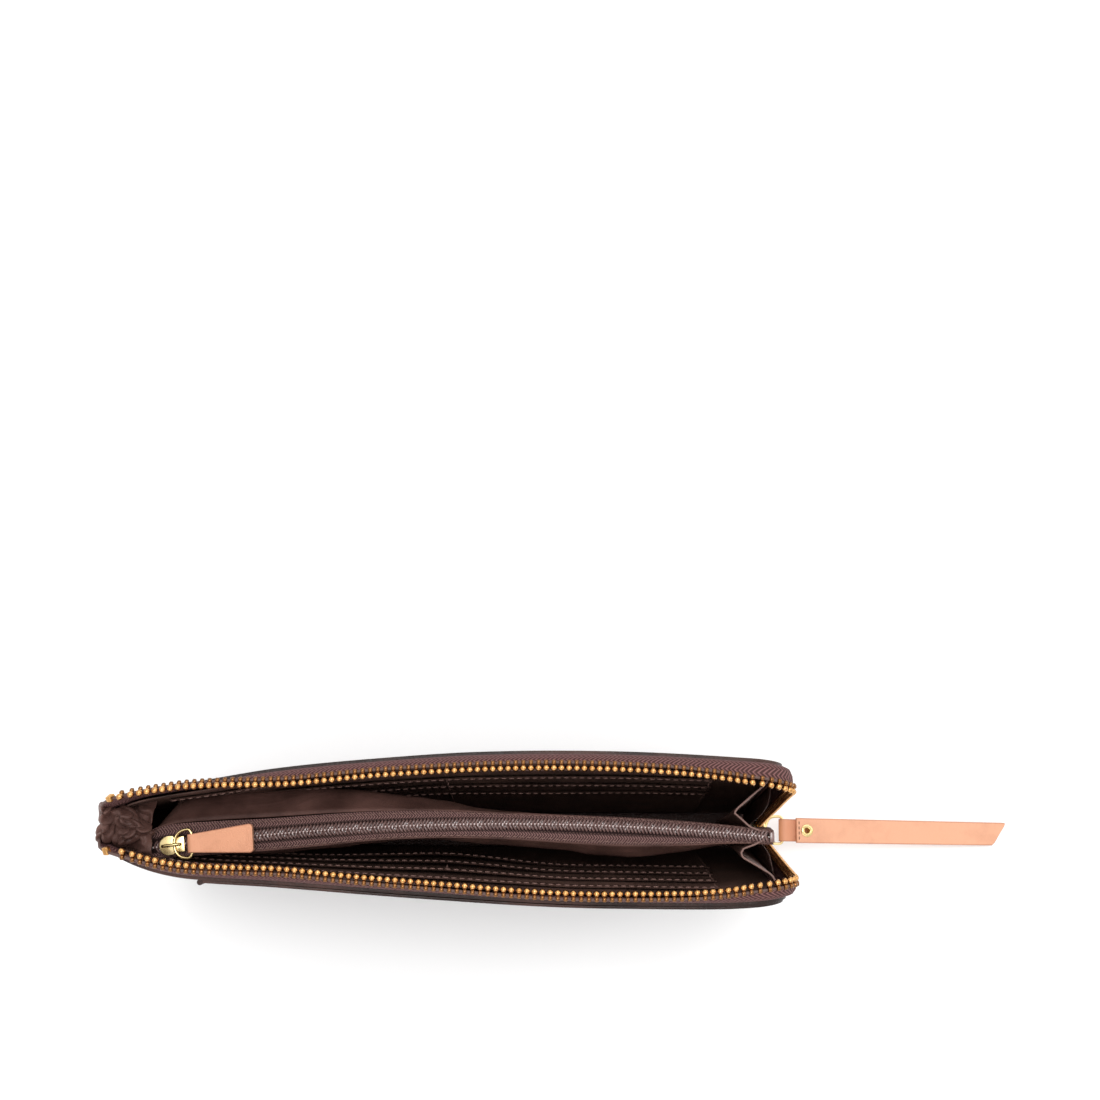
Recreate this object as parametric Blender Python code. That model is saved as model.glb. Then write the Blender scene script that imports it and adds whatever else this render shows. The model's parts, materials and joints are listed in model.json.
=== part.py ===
"""Zip-round leather pouch, standing on its spine with its mouth open. Metres, +Z up.

The origin is the middle of the spine's flat underside. +X runs to the end where the main slider is,
and +Y to the rear cover. A cover's layers are placed by their depth inwards from its outer face.
"""

import math

import bmesh
import bpy
from mathutils import Matrix, Vector

MM = 0.001
GAP = 0.3 * MM
REAR, FRONT = 1, -1
SIDE_NAMES = {REAR: "rear", FRONT: "front"}

# Pouch
HALF_LENGTH = 113 * MM
HEIGHT = 116 * MM
SPINE_HALF = 9.5 * MM
CORNER = 12 * MM
FOOT = 0.4 * MM
# Half the width of the open mouth along a cover's top edge: (x, half width) in millimetres.
MOUTH = {
    REAR: [(-113, 9), (-104, 14), (-82, 17.5), (-40, 22), (10, 25.7), (60, 26.4), (113, 23.6)],
    FRONT: [(-113, 9), (-104, 13), (-82, 16.8), (-40, 20.2), (10, 23.8), (60, 26), (113, 25.2)],
}

# Layers of a cover, outside to inside
LEATHER = 1.4 * MM
BOARD = 0.7 * MM
LINING = 0.5 * MM
CARD_POCKET = 0.35 * MM
BOARD_DEPTH = LEATHER + GAP + BOARD / 2
LINING_DEPTH = LEATHER + BOARD + 2 * GAP + LINING / 2
FIRST_POCKET_DEPTH = LINING_DEPTH + LINING / 2 + GAP + CARD_POCKET / 2
POCKET_STEP = CARD_POCKET + GAP
TIER_DROP = 12 * MM
TIER_TOP = 106 * MM
TIER_HEIGHT = 54 * MM
TIER_ENDS = (-93 * MM, 91 * MM)
TIERS = 4

# Main zip: it starts low on the left end, rounds both corners and runs down to the spine
TAIL_FOOT = 92 * MM
CHAIN_FOOT = 10 * MM
TAPE = 0.6 * MM
TAPE_SEWN = 7 * MM
TOOTH_PITCH = 2.5 * MM
TOOTH_LENGTH = 3.9 * MM
TOOTH_THICK = 2.2 * MM
CORD_WIDTH = 1.1 * MM
# Along the zip's run: how far its edge stands out past the leather, and in from the cover's outer face
STAND_OUT = [(0, 3), (12, 3.3), (31, 6.5), (60, 6), (150, 5.5), (225, 5), (242, 3), (352, 3)]
STAND_IN = {
    REAR: [(0, 6.5), (31, 5), (60, 5.6), (110, 6.6), (160, 6.8), (205, 7.2), (233, 9.6), (254, 9.8),
           (331.5, 11.1), (337.7, 12.2), (340, 12.25), (346, 11.5)],
    FRONT: [(0, 6.5), (31, 5.8), (60, 7), (110, 6.9), (160, 6.5), (205, 7), (233, 10.3), (254, 11),
            (331.5, 11.45), (337.7, 12.45), (340, 12.45), (346, 11.65)],
}

# Zip pocket that divides the pouch: its top follows one shallow arc
ARC_CENTRE = Vector((20 * MM, -897 * MM, 0))
ARC_RADIUS = 899 * MM
POCKET_ENDS = (-104 * MM, 109 * MM)
POCKET_TOP = 99.5 * MM
POCKET_FOOT = 6 * MM
POCKET_HALF = 4.4 * MM
POCKET_END_HALF = 2.2 * MM
POCKET_FOOT_HALF = 1.0 * MM
SATIN = 0.5 * MM
INNER_TAPE_HEIGHT = 101.1 * MM
COIL_WIDTH = 1.5 * MM
COIL_THICK = 1.3 * MM
COIL_GAP = 0.2 * MM
INNER_START = -92.5 * MM

# Colours: base colour, roughness, metallic
FINISHES = {
    "brown_leather": ((0.045, 0.022, 0.017), 0.42, 0),
    "stiffener_board": ((0.30, 0.24, 0.18), 0.9, 0),
    "brown_satin": ((0.085, 0.05, 0.045), 0.45, 0),
    "brown_twill": ((0.11, 0.065, 0.06), 0.8, 0),
    "brown_nylon": ((0.07, 0.045, 0.042), 0.35, 0),
    "brass": ((0.78, 0.50, 0.20), 0.28, 1),
    "pale_gold": ((0.86, 0.76, 0.48), 0.22, 1),
    "natural_leather": ((0.80, 0.46, 0.28), 0.55, 0),
}


def finish(name):
    """The named material, made once."""
    material = bpy.data.materials.get(name)
    if material is None:
        material = bpy.data.materials.new(name)
        material.use_nodes = True
        colour, roughness, metallic = FINISHES[name]
        shader = material.node_tree.nodes["Principled BSDF"]
        shader.inputs["Base Color"].default_value = (*colour, 1)
        shader.inputs["Roughness"].default_value = roughness
        shader.inputs["Metallic"].default_value = metallic
    return material


def solid(name, bm, material=None, frame=None):
    """An object from a bmesh, in the frame of an empty if one is given. With no material it is a cutter."""
    bmesh.ops.recalc_face_normals(bm, faces=bm.faces)
    mesh = bpy.data.meshes.new(name)
    bm.to_mesh(mesh)
    bm.free()
    obj = bpy.data.objects.new(name, mesh)
    bpy.context.scene.collection.objects.link(obj)
    obj.parent = frame
    if material:
        mesh.materials.append(finish(material))
    else:
        obj.hide_render = True
        obj.display_type = "WIRE"
    return obj


def combine(obj, other, operation):
    """Cuts or joins another closed shape, which then only serves as a tool."""
    other.hide_render = True
    other.display_type = "WIRE"
    boolean = obj.modifiers.new(other.name, "BOOLEAN")
    boolean.operation = operation
    boolean.solver = "EXACT"
    boolean.object = other


def joint_frame(name, position, x_axis, z_axis):
    """An empty on a joint's axis. Its local X and Z point as given, and its local Y is the hinge line."""
    x_axis = Vector(x_axis).normalized()
    z_axis = Vector(z_axis).normalized()
    empty = bpy.data.objects.new(name, None)
    bpy.context.scene.collection.objects.link(empty)
    turned = Matrix((x_axis, z_axis.cross(x_axis), z_axis)).transposed().to_4x4()
    empty.matrix_world = Matrix.Translation(position) @ turned
    return empty


def through(keys, x):
    """A smooth curve through (x, value) points: cubic Hermite, with slopes taken across the neighbours."""
    last = len(keys) - 1
    slopes = []
    for i in range(last + 1):
        before, after = keys[max(i - 1, 0)], keys[min(i + 1, last)]
        slopes.append((after[1] - before[1]) / (after[0] - before[0]))
    i = 0
    while i < last - 1 and x > keys[i + 1][0]:
        i += 1
    (x0, y0), (x1, y1) = keys[i], keys[i + 1]
    span = x1 - x0
    t = min(max((x - x0) / span, 0), 1)
    return (
        y0 * (1 + 2 * t) * (1 - t) ** 2
        + slopes[i] * span * t * (1 - t) ** 2
        + y1 * t * t * (3 - 2 * t)
        + slopes[i + 1] * span * t * t * (t - 1)
    )


def cover_y(side, x, z, depth=0.0):
    """Y of a cover's layer: the covers lean out from the spine to the mouth's outline."""
    rim = through(MOUTH[side], x / MM) * MM
    return side * (SPINE_HALF + (rim - SPINE_HALF) * z / HEIGHT - depth)


def edge_height(x, inset):
    """Height of a layer's top edge, which is inset from the leather's edge and rounds with its corners."""
    radius = max(CORNER - inset, 0.5 * MM)
    over = abs(x) - (HALF_LENGTH - inset - radius)
    top = HEIGHT - inset
    if over <= 0:
        return top
    return top - radius + math.sqrt(max(radius**2 - over**2, 0))


def sheet(name, columns, rows, place, thickness, material):
    """A thin closed sheet. place(i, j) is the middle of its thickness at column i and row j."""
    bm = bmesh.new()
    bmesh.ops.create_grid(bm, x_segments=columns, y_segments=rows, size=0.5)
    for vert in bm.verts:
        i = round((vert.co.x + 0.5) * columns)
        j = round((vert.co.y + 0.5) * rows)
        vert.co = place(i, j)
    obj = solid(name, bm, material)
    thicken = obj.modifiers.new("Thickness", "SOLIDIFY")
    thicken.thickness = thickness
    thicken.offset = 0
    return obj


def columns_between(low, high, left_corner, right_corner, steps=16):
    """X of a layer's columns: even along the middle, and closer round each rounded corner."""
    turns = [math.radians(a) for a in (0, 25, 50, 72)]
    left = [low + left_corner * (1 - math.cos(a)) for a in turns] if left_corner else []
    right = [high - right_corner * (1 - math.cos(a)) for a in reversed(turns)] if right_corner else []
    inner_low, inner_high = low + left_corner, high - right_corner
    middle = [inner_low + (inner_high - inner_low) * i / steps for i in range(steps + 1)]
    return left + middle + right


def cover_layer(name, side, depth, thickness, inset, foot, ends, material):
    """One full layer of a cover, from its foot up to the edge that follows the rim."""
    corner = CORNER - inset
    left, right = (corner if abs(end) > HALF_LENGTH - inset - 0.1 * MM else 0 for end in ends)
    xs = columns_between(*ends, left, right)

    def place(i, j):
        x = xs[i]
        z = foot + (edge_height(x, inset) - foot) * j / 2
        return Vector((x, cover_y(side, x, z, depth), z))

    return sheet(name, len(xs) - 1, 2, place, thickness, material)


def card_tier(side, tier):
    """One strip of card pockets. Each lower strip lies one step nearer the inside."""
    top = TIER_TOP - tier * TIER_DROP
    foot = max(top - TIER_HEIGHT, 9 * MM)
    depth = FIRST_POCKET_DEPTH + tier * POCKET_STEP
    low, high = TIER_ENDS

    def place(i, j):
        x = low + (high - low) * i / 12
        z = foot + (top - foot) * j
        return Vector((x, cover_y(side, x, z, depth), z))

    name = f"{SIDE_NAMES[side]}_card_pocket_tier_{tier + 1}"
    sheet(name, 12, 1, place, CARD_POCKET, "brown_satin")


def front_slip_pocket():
    """The open pocket on the outside of the front cover, which stops short of the left end."""
    xs = columns_between(-80 * MM, HALF_LENGTH - 1 * MM, 0, CORNER - 1 * MM)
    depth = -LEATHER / 2 - GAP

    def place(i, j):
        x = xs[i]
        z = 6 * MM + (edge_height(x, 1 * MM) - 6 * MM) * j / 2
        return Vector((x, cover_y(FRONT, x, z, depth), z))

    sheet("front_slip_pocket", len(xs) - 1, 2, place, LEATHER - 0.2 * MM, "brown_leather")


def zip_length():
    left = HEIGHT - CORNER - TAIL_FOOT
    right = HEIGHT - CORNER - CHAIN_FOOT
    return left + math.pi * CORNER + 2 * (HALF_LENGTH - CORNER) + right


def rim_at(s):
    """Point and outward normal (x, z) on the leather's edge, a distance s along the zip's run."""
    left = HEIGHT - CORNER - TAIL_FOOT
    bend = math.pi / 2 * CORNER
    top = 2 * (HALF_LENGTH - CORNER)
    turn_x, turn_z = HALF_LENGTH - CORNER, HEIGHT - CORNER
    if s < left:
        return -HALF_LENGTH, TAIL_FOOT + s, -1.0, 0.0
    s -= left
    if s < bend:
        angle = math.pi - s / CORNER
        nx, nz = math.cos(angle), math.sin(angle)
        return -turn_x + CORNER * nx, turn_z + CORNER * nz, nx, nz
    s -= bend
    if s < top:
        return -turn_x + s, HEIGHT, 0.0, 1.0
    s -= top
    if s < bend:
        angle = math.pi / 2 - s / CORNER
        nx, nz = math.cos(angle), math.sin(angle)
        return turn_x + CORNER * nx, turn_z + CORNER * nz, nx, nz
    return HALF_LENGTH, turn_z - (s - bend), 1.0, 0.0


def zip_point(side, s, out, depth):
    """A point of the main zip: out past the leather's edge, and depth in from the cover's outer face."""
    x, z, nx, nz = rim_at(s)
    inside = min(out, 0)
    y = cover_y(side, x + inside * nx, z + inside * nz, depth)
    return Vector((x + out * nx, y, z + out * nz))


def zip_edge(side, s):
    """How far the chain stands out and in at s."""
    return through(STAND_OUT, s / MM) * MM, through(STAND_IN[side], s / MM) * MM


def zip_stations():
    """Places along the zip's run, closest together round the two corners."""
    left = HEIGHT - CORNER - TAIL_FOOT
    bend = math.pi / 2 * CORNER
    stations = [0.0]
    for run, steps in ((left, 3), (bend, 7), (2 * (HALF_LENGTH - CORNER), 26), (bend, 7)):
        stations += [stations[-1] + run * (k + 1) / steps for k in range(steps)]
    rest = zip_length() - stations[-1]
    return stations + [stations[-1] + rest * (k + 1) / 10 for k in range(10)]


def main_zip_tape(side):
    """Twill tape: sewn inside the leather, it rises past the edge and turns in to carry the teeth."""
    stations = zip_stations()
    sewn_depth = BOARD_DEPTH

    def place(i, j):
        s = stations[i]
        out, depth = zip_edge(side, s)
        held = max(depth - TOOTH_LENGTH - 0.5 * MM, 0.3 * MM)
        section = (
            (-TAPE_SEWN, sewn_depth),
            (0.3 * MM, sewn_depth),
            (0.7 * out, min(held, sewn_depth)),
            (out, held),
        )
        return zip_point(side, s, *section[j])

    sheet(f"{SIDE_NAMES[side]}_zip_tape", len(stations) - 1, 3, place, TAPE, "brown_twill")


def tooth_row(side):
    """One side of the chain: a cord with a wedge-shaped tooth at each pitch. The rows are half a pitch apart."""
    total = zip_length()
    first = 22 * MM + (0 if side == REAR else TOOTH_PITCH / 2)
    count = int((total - first) / TOOTH_PITCH)
    bm = bmesh.new()
    before = None
    for n in range(2 * count):
        s = first + n * TOOTH_PITCH / 2
        out, depth = zip_edge(side, s)
        root = max(depth - TOOTH_LENGTH, 0.8 * MM)
        is_tooth = n % 2 == 1
        tip = root + (TOOTH_LENGTH if is_tooth else CORD_WIDTH)
        thick = TOOTH_THICK if is_tooth else 1.4 * MM
        low, high = out - thick / 2, out + thick / 2
        ring = [
            bm.verts.new(zip_point(side, s, *corner))
            for corner in ((low, root), (high, root), (high, tip), (low, tip))
        ]
        if before is None:
            bm.faces.new(ring)
        else:
            for k in range(4):
                bm.faces.new((before[k], before[k - 1], ring[k - 1], ring[k]))
        before = ring
    bm.faces.new(before)
    solid(f"{SIDE_NAMES[side]}_tooth_row", bm, "brass")


def arc_point(x, across, z):
    """A point beside the zip pocket's arc, on its own radius."""
    angle = math.asin((x - ARC_CENTRE.x) / ARC_RADIUS)
    radius = ARC_RADIUS + across
    return Vector((ARC_CENTRE.x + radius * math.sin(angle), ARC_CENTRE.y + radius * math.cos(angle), z))


def pocket_half(x, z):
    """Half the zip pocket's thickness: it narrows to its ends and to its foot."""
    low, high = POCKET_ENDS
    share = (x - low) / (high - low)
    swell = min(1, 6 * min(share, 1 - share))
    top = POCKET_END_HALF + (POCKET_HALF - POCKET_END_HALF) * swell
    foot_share = (z - POCKET_FOOT) / (POCKET_TOP - POCKET_FOOT)
    return POCKET_FOOT_HALF + (top - POCKET_FOOT_HALF) * foot_share


def divider_wall(side):
    """A satin wall of the zip pocket. Its foot runs straight along the spine's middle."""
    low, high = POCKET_ENDS

    def place(i, j):
        x = low + (high - low) * i / 16
        z = POCKET_FOOT + (POCKET_TOP - POCKET_FOOT) * j / 2
        bow = arc_point(x, 0, z).y * j / 2
        return Vector((x, bow + side * pocket_half(x, z), z))

    sheet(f"zip_pocket_{SIDE_NAMES[side]}_wall", 16, 2, place, SATIN, "brown_satin")


def zip_pocket_floor():
    low, high = POCKET_ENDS

    def place(i, j):
        return Vector((low + (high - low) * i, (2 * j - 1) * POCKET_FOOT_HALF * 1.6, POCKET_FOOT - GAP - SATIN))

    sheet("zip_pocket_floor", 1, 1, place, SATIN, "brown_satin")


def arc_strip(name, side, near, far, z, thickness, material, ends=POCKET_ENDS):
    """A strip along the arc, from near to far beside its middle, tapering in width with the pocket."""
    low, high = ends
    nose = INNER_START - 4 * MM
    xs = [low, nose, nose + 2.7 * MM]
    xs += [xs[-1] + (high - xs[-1]) * (k + 1) / 22 for k in range(22)]

    def place(i, j):
        x = xs[i]
        # The two halves part in front of the slider's nose.
        parted = 1 * MM if i < 2 else 0
        limit = pocket_half(x, POCKET_TOP)
        start = near + parted
        across = start + (max(min(far + parted, limit), start + 0.6 * MM) - start) * j
        return arc_point(x, side * across, z)

    sheet(name, len(xs) - 1, 1, place, thickness, material)


def inner_zip():
    """Coil zip on the pocket's top: two tapes, and on each a row of nylon coil."""
    for side, name in SIDE_NAMES.items():
        outer_edge = POCKET_HALF + 0.2 * MM
        arc_strip(f"inner_zip_{name}_tape", side, COIL_GAP, outer_edge, INNER_TAPE_HEIGHT, 0.8 * TAPE,
                  "brown_twill")
        coil_z = INNER_TAPE_HEIGHT + 0.4 * TAPE + GAP + COIL_THICK / 2
        ends = (POCKET_ENDS[0] + 1 * MM, POCKET_ENDS[1] - 1 * MM)
        arc_strip(f"inner_zip_{name}_coil", side, COIL_GAP, COIL_GAP + COIL_WIDTH, coil_z, COIL_THICK,
                  "brown_nylon", ends)


def right_gusset(side, plan):
    """A folded satin panel from the zip pocket to a cover's lining: plan holds (x, share of the way)."""
    foot, top = 7 * MM, 98 * MM

    def place(i, j):
        x, share = plan[i][0] * MM, plan[i][1]
        z = foot + (top - foot) * j
        bow = arc_point(min(x, POCKET_ENDS[1]), 0, z).y * j
        near = bow + side * (pocket_half(min(x, POCKET_ENDS[1]), z) + SATIN + GAP)
        far = cover_y(side, x, z, LINING_DEPTH + LINING / 2 + SATIN)
        return Vector((x, near + share * (far - near), z))

    sheet(f"{SIDE_NAMES[side]}_right_gusset", len(plan) - 1, 1, place, SATIN, "brown_satin")


def left_gusset(side, plan):
    """A small folded panel in the narrow left end. Its foot draws in towards the spine."""
    foot, top = 7 * MM, 99 * MM

    def place(i, j):
        x, y = plan[i]
        share = 0.36 + 0.64 * (foot + (top - foot) * j) / top
        return Vector((x * MM, y * share * MM, foot + (top - foot) * j))

    sheet(f"{SIDE_NAMES[side]}_left_gusset", len(plan) - 1, 1, place, SATIN, "brown_satin")


def gussets():
    """Four folded satin panels tie the zip pocket to the covers and limit how far the mouth opens."""
    right_gusset(REAR, [(105, 0.06), (98.5, 0.2), (107, 0.97)])
    right_gusset(FRONT, [(105, 0.06), (100.7, 0.25), (107, 0.97)])
    left_gusset(REAR, [(-105.6, -1), (-108, 2.5), (-105.6, 7)])
    left_gusset(FRONT, [(-105.6, -4), (-108, -6.5), (-105.6, -9.2)])


def left_end_panel():
    """Twill and leather end that closes the pouch under the zip's tails."""

    def place(i, j):
        y = (-6.4 + 12.8 * i / 4) * MM
        fold = 2.2 * MM * (1 - abs(i - 2) / 2)
        return Vector((-HALF_LENGTH + 0.9 * MM + fold, y, 3 * MM + 99 * MM * j))

    sheet("left_end_panel", 4, 1, place, 0.9 * MM, "brown_leather")


def box(name, size, position, material=None, frame=None):
    bm = bmesh.new()
    bmesh.ops.create_cube(bm, size=1)
    bmesh.ops.scale(bm, vec=size, verts=bm.verts)
    bmesh.ops.translate(bm, vec=position, verts=bm.verts)
    return solid(name, bm, material, frame)


def prism(name, outline, low, high, material=None, frame=None, turned=False):
    """A closed outline pushed from low to high: an (x, y) outline along Z, or turned, (x, z) along Y."""
    bm = bmesh.new()
    corners = [Vector((a, low, b)) if turned else Vector((a, b, low)) for a, b in outline]
    base = bm.faces.new([bm.verts.new(c) for c in corners])
    pushed = bmesh.ops.extrude_face_region(bm, geom=[base])["geom"]
    way = Vector((0, high - low, 0)) if turned else Vector((0, 0, high - low))
    bmesh.ops.translate(bm, vec=way, verts=[v for v in pushed if isinstance(v, bmesh.types.BMVert)])
    return solid(name, bm, material, frame)


def cylinder(name, radius, low, high, position, axis, segments, material=None, frame=None):
    """A round bar or cutter between low and high along its axis through position."""
    bm = bmesh.new()
    bmesh.ops.create_cone(bm, cap_ends=True, segments=segments, radius1=radius, radius2=radius,
                          depth=high - low)
    bmesh.ops.translate(bm, vec=(0, 0, (low + high) / 2), verts=bm.verts)
    turn = Vector((0, 0, 1)).rotation_difference(Vector(axis)).to_matrix()
    bmesh.ops.rotate(bm, matrix=turn, cent=(0, 0, 0), verts=bm.verts)
    bmesh.ops.translate(bm, vec=position, verts=bm.verts)
    return solid(name, bm, material, frame)


def spine():
    """The leather spine that the pouch stands on, and the board inside it."""
    width = 2 * SPINE_HALF - 2 * LEATHER - 1.2 * MM
    box("spine_panel", (2 * HALF_LENGTH - 2 * MM, width, LEATHER), (0, 0, LEATHER / 2), "brown_leather")
    board_z = LEATHER + GAP + BOARD / 2
    box("spine_board", (2 * HALF_LENGTH - 10 * MM, width - 3 * MM, BOARD), (0, 0, board_z),
        "stiffener_board")


def covers():
    """Leather, board, lining, card pockets and zip of the two covers."""
    for side, name in SIDE_NAMES.items():
        cover_layer(f"{name}_cover", side, LEATHER / 2, LEATHER, 0, FOOT, (-HALF_LENGTH, HALF_LENGTH),
                    "brown_leather")
        cover_layer(f"{name}_board", side, BOARD_DEPTH, BOARD, 9 * MM, 3 * MM, (-100 * MM, 104 * MM),
                    "stiffener_board")
        cover_layer(f"{name}_lining", side, LINING_DEPTH, LINING, 3 * MM, 4 * MM,
                    (-102 * MM, 108 * MM), "brown_satin")
        for tier in range(TIERS):
            card_tier(side, tier)
        main_zip_tape(side)
        tooth_row(side)
    front_slip_pocket()


def slider(name, frame, length, nose, tail, channel, plate, chain_half, throat, slot, bridge, material):
    """A zip slider. Local X runs to its nose, Y across and Z out of its top plate; the chain's plane is Z 0."""
    half = length / 2
    thick = channel + 2 * plate
    outline = [
        (-half, -tail / 2), (-0.1 * half, -tail / 2), (0.45 * half, -nose / 2), (0.85 * half, -0.46 * nose),
        (half, -0.30 * nose), (half, 0.30 * nose), (0.85 * half, 0.46 * nose), (0.45 * half, nose / 2),
        (-0.1 * half, tail / 2), (-half, tail / 2),
    ]
    body = prism(name, outline, -thick / 2, thick / 2, material, frame)
    over = half + 1 * MM
    post = 0.35 * MM
    way = [
        (-over, -chain_half), (-0.1 * half, -chain_half), (0.55 * half, -throat), (over, -throat),
        (over, -post - 0.5 * MM), (half - 0.2 * MM, -post - 0.5 * MM), (0.35 * half, 0),
        (half - 0.2 * MM, post + 0.5 * MM), (over, post + 0.5 * MM), (over, throat),
        (0.55 * half, throat), (-0.1 * half, chain_half), (-over, chain_half),
    ]
    combine(body, prism(f"{name}_way", way, -channel / 2, channel / 2, None, frame), "DIFFERENCE")
    slot_way = [
        (-over, -nose), (over, -nose), (over, -1.2 * MM), (0.5 * half, -1.2 * MM), (-over, -1.2 * MM),
    ]
    mirrored = [(x, -y) for x, y in slot_way]
    for label, ring in (("a", slot_way), ("b", mirrored)):
        cutter = prism(f"{name}_slot_{label}", ring, -channel / 2, -channel / 2 + slot, None, frame)
        combine(body, cutter, "DIFFERENCE")
    # The bridge is an arch on the top plate, and the pull's ring passes under it.
    foot, rise, wide, bar = bridge
    low = thick / 2 - 0.3 * MM
    arch = [
        (-foot, low), (-foot, thick / 2 + 0.55 * rise), (-0.6 * foot, thick / 2 + rise),
        (0.6 * foot, thick / 2 + rise), (foot, thick / 2 + 0.55 * rise), (foot, low),
    ]
    tool = prism(f"{name}_bridge", arch, -wide / 2, wide / 2, None, frame, turned=True)
    hole_top = thick / 2 + rise - bar
    hole = [
        (-foot + bar, thick / 2), (-foot + bar, hole_top - 0.4 * bar), (-foot + 1.6 * bar, hole_top),
        (foot - 1.6 * bar, hole_top), (foot - bar, hole_top - 0.4 * bar), (foot - bar, thick / 2),
    ]
    combine(tool, prism(f"{name}_bridge_hole", hole, -wide, wide, None, frame, turned=True), "DIFFERENCE")
    combine(body, tool, "UNION")
    return body


def ring(name, frame, points, wire, material):
    """A closed wire ring through local (x, y) points, rounded at its corners."""
    curve = bpy.data.curves.new(name, "CURVE")
    curve.dimensions = "3D"
    curve.bevel_depth = wire / 2
    curve.bevel_resolution = 1
    spline = curve.splines.new("POLY")
    spline.points.add(len(points) - 1)
    for point, (x, y) in zip(spline.points, points):
        point.co = (x, y, 0, 1)
    spline.use_cyclic_u = True
    curve.materials.append(finish(material))
    obj = bpy.data.objects.new(name, curve)
    bpy.context.scene.collection.objects.link(obj)
    obj.parent = frame
    return obj


def folded_leather(name, frame, length, half_width, thickness, bar, material):
    """Leather folded round a ring's bar at local X 0 and closed into one strip along +X."""
    reach = bar / 2 + GAP + 0.5 * thickness
    turns = [math.radians(a) for a in range(90, 271, 30)]
    loop = [(reach * math.cos(a), reach * math.sin(a)) for a in turns]
    flat = thickness / 2
    side = loop + [(1.6 * reach, -flat), (length, -flat), (length, flat), (1.6 * reach, flat)]
    piece = prism(name, side, -1, 1, material, frame, turned=True)
    for vert in piece.data.vertices:
        vert.co.y = math.copysign(half_width(vert.co.x), vert.co.y)
    hole = cylinder(f"{name}_hole", bar / 2 + GAP, -20 * MM, 20 * MM, (0, 0, 0), (0, 1, 0), 12, None, frame)
    combine(piece, hole, "DIFFERENCE")
    return piece


def main_slider():
    """Brass slider on the right end, near the spine, its nose up. Its ring and strap lead out along +X."""
    chain_x = HALF_LENGTH + 3 * MM
    height = 17.5 * MM
    frame = joint_frame("main_slider_axis", (chain_x, 0, height), (0, 0, 1), (1, 0, 0))
    slider("main_slider_body", frame, length=12.6 * MM, nose=10.8 * MM, tail=8 * MM,
           channel=2.9 * MM, plate=0.9 * MM, chain_half=3.3 * MM, throat=5.1 * MM,
           slot=1.9 * MM, bridge=(2.9 * MM, 2.5 * MM, 1.8 * MM, 0.8 * MM), material="pale_gold")
    return chain_x, height


def main_pull(chain_x, height):
    """Ring, leather loop, strap and eyelet. They slope down until the strap's tip is just over the ground."""
    wire = 1.1 * MM
    hinge_x = chain_x + 2.35 * MM + 0.95 * MM
    slope = math.radians(10.0)
    yaw = math.radians(-1.0)
    along = Vector((math.cos(slope) * math.cos(yaw), math.sin(yaw), -math.sin(slope)))
    up = Vector((math.sin(slope), 0, math.cos(slope)))
    ring_frame = joint_frame("main_ring_axis", (hinge_x, 0, height - 1.0 * MM), along, up)
    half_out = 5.3 * MM
    reach = 7.4 * MM
    outline = [
        (0, -1.9), (0, 1.9), (1.2, 4.0), (2.6, 5.0), (4, 5.3), (6.6, 5.3), (7.4, 4.7),
        (7.4, -4.7), (6.6, -5.3), (4, -5.3), (2.6, -5.0), (1.2, -4.0),
    ]
    ring("main_pull_ring", ring_frame, [(x * MM, y * MM) for x, y in outline], wire, "pale_gold")
    strap_frame = joint_frame("strap_axis", Vector((hinge_x, 0, height - 1.0 * MM)) + reach * along,
                              along, up)
    inner_width = half_out - wire / 2 - GAP
    loop = folded_leather("strap_loop", strap_frame, 15 * MM, lambda x: inner_width - 0.1 * MM,
                          2.2 * MM, wire, "natural_leather")
    top = 1.1 * MM + GAP
    half = 4.6 * MM
    start, tip = 5.4 * MM, 93 * MM
    outline = [(start, -half), (tip - 6 * MM, -half), (tip, 0.75 * half), (tip, half), (start, half)]
    strap = prism("pull_strap", outline, top, top + 1.6 * MM, "natural_leather", strap_frame)
    eye_x = 9.6 * MM
    for piece, low, high in ((loop, -3 * MM, 3 * MM), (strap, 0, 5 * MM)):
        hole = cylinder(f"{piece.name}_eye", 1.7 * MM, low, high, (eye_x, 0, 0), (0, 0, 1), 12, None,
                        strap_frame)
        combine(piece, hole, "DIFFERENCE")
    tube_low = -1.1 * MM - GAP - 0.4 * MM
    flange = top + 1.6 * MM + GAP
    eyelet = cylinder("strap_eyelet", 2.6 * MM, flange, flange + 0.5 * MM, (eye_x, 0, 0), (0, 0, 1), 20,
                      "pale_gold", strap_frame)
    tube = cylinder("eyelet_tube", 1.4 * MM, tube_low, flange + 0.2 * MM, (eye_x, 0, 0), (0, 0, 1), 12,
                    None, strap_frame)
    back = cylinder("eyelet_back", 2.4 * MM, tube_low - 0.4 * MM, tube_low + 0.1 * MM, (eye_x, 0, 0),
                    (0, 0, 1), 20, None, strap_frame)
    bore = cylinder("eyelet_bore", 1.0 * MM, -10 * MM, 10 * MM, (eye_x, 0, 0), (0, 0, 1), 12, None,
                    strap_frame)
    combine(eyelet, tube, "UNION")
    combine(eyelet, back, "UNION")
    combine(eyelet, bore, "DIFFERENCE")


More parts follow.
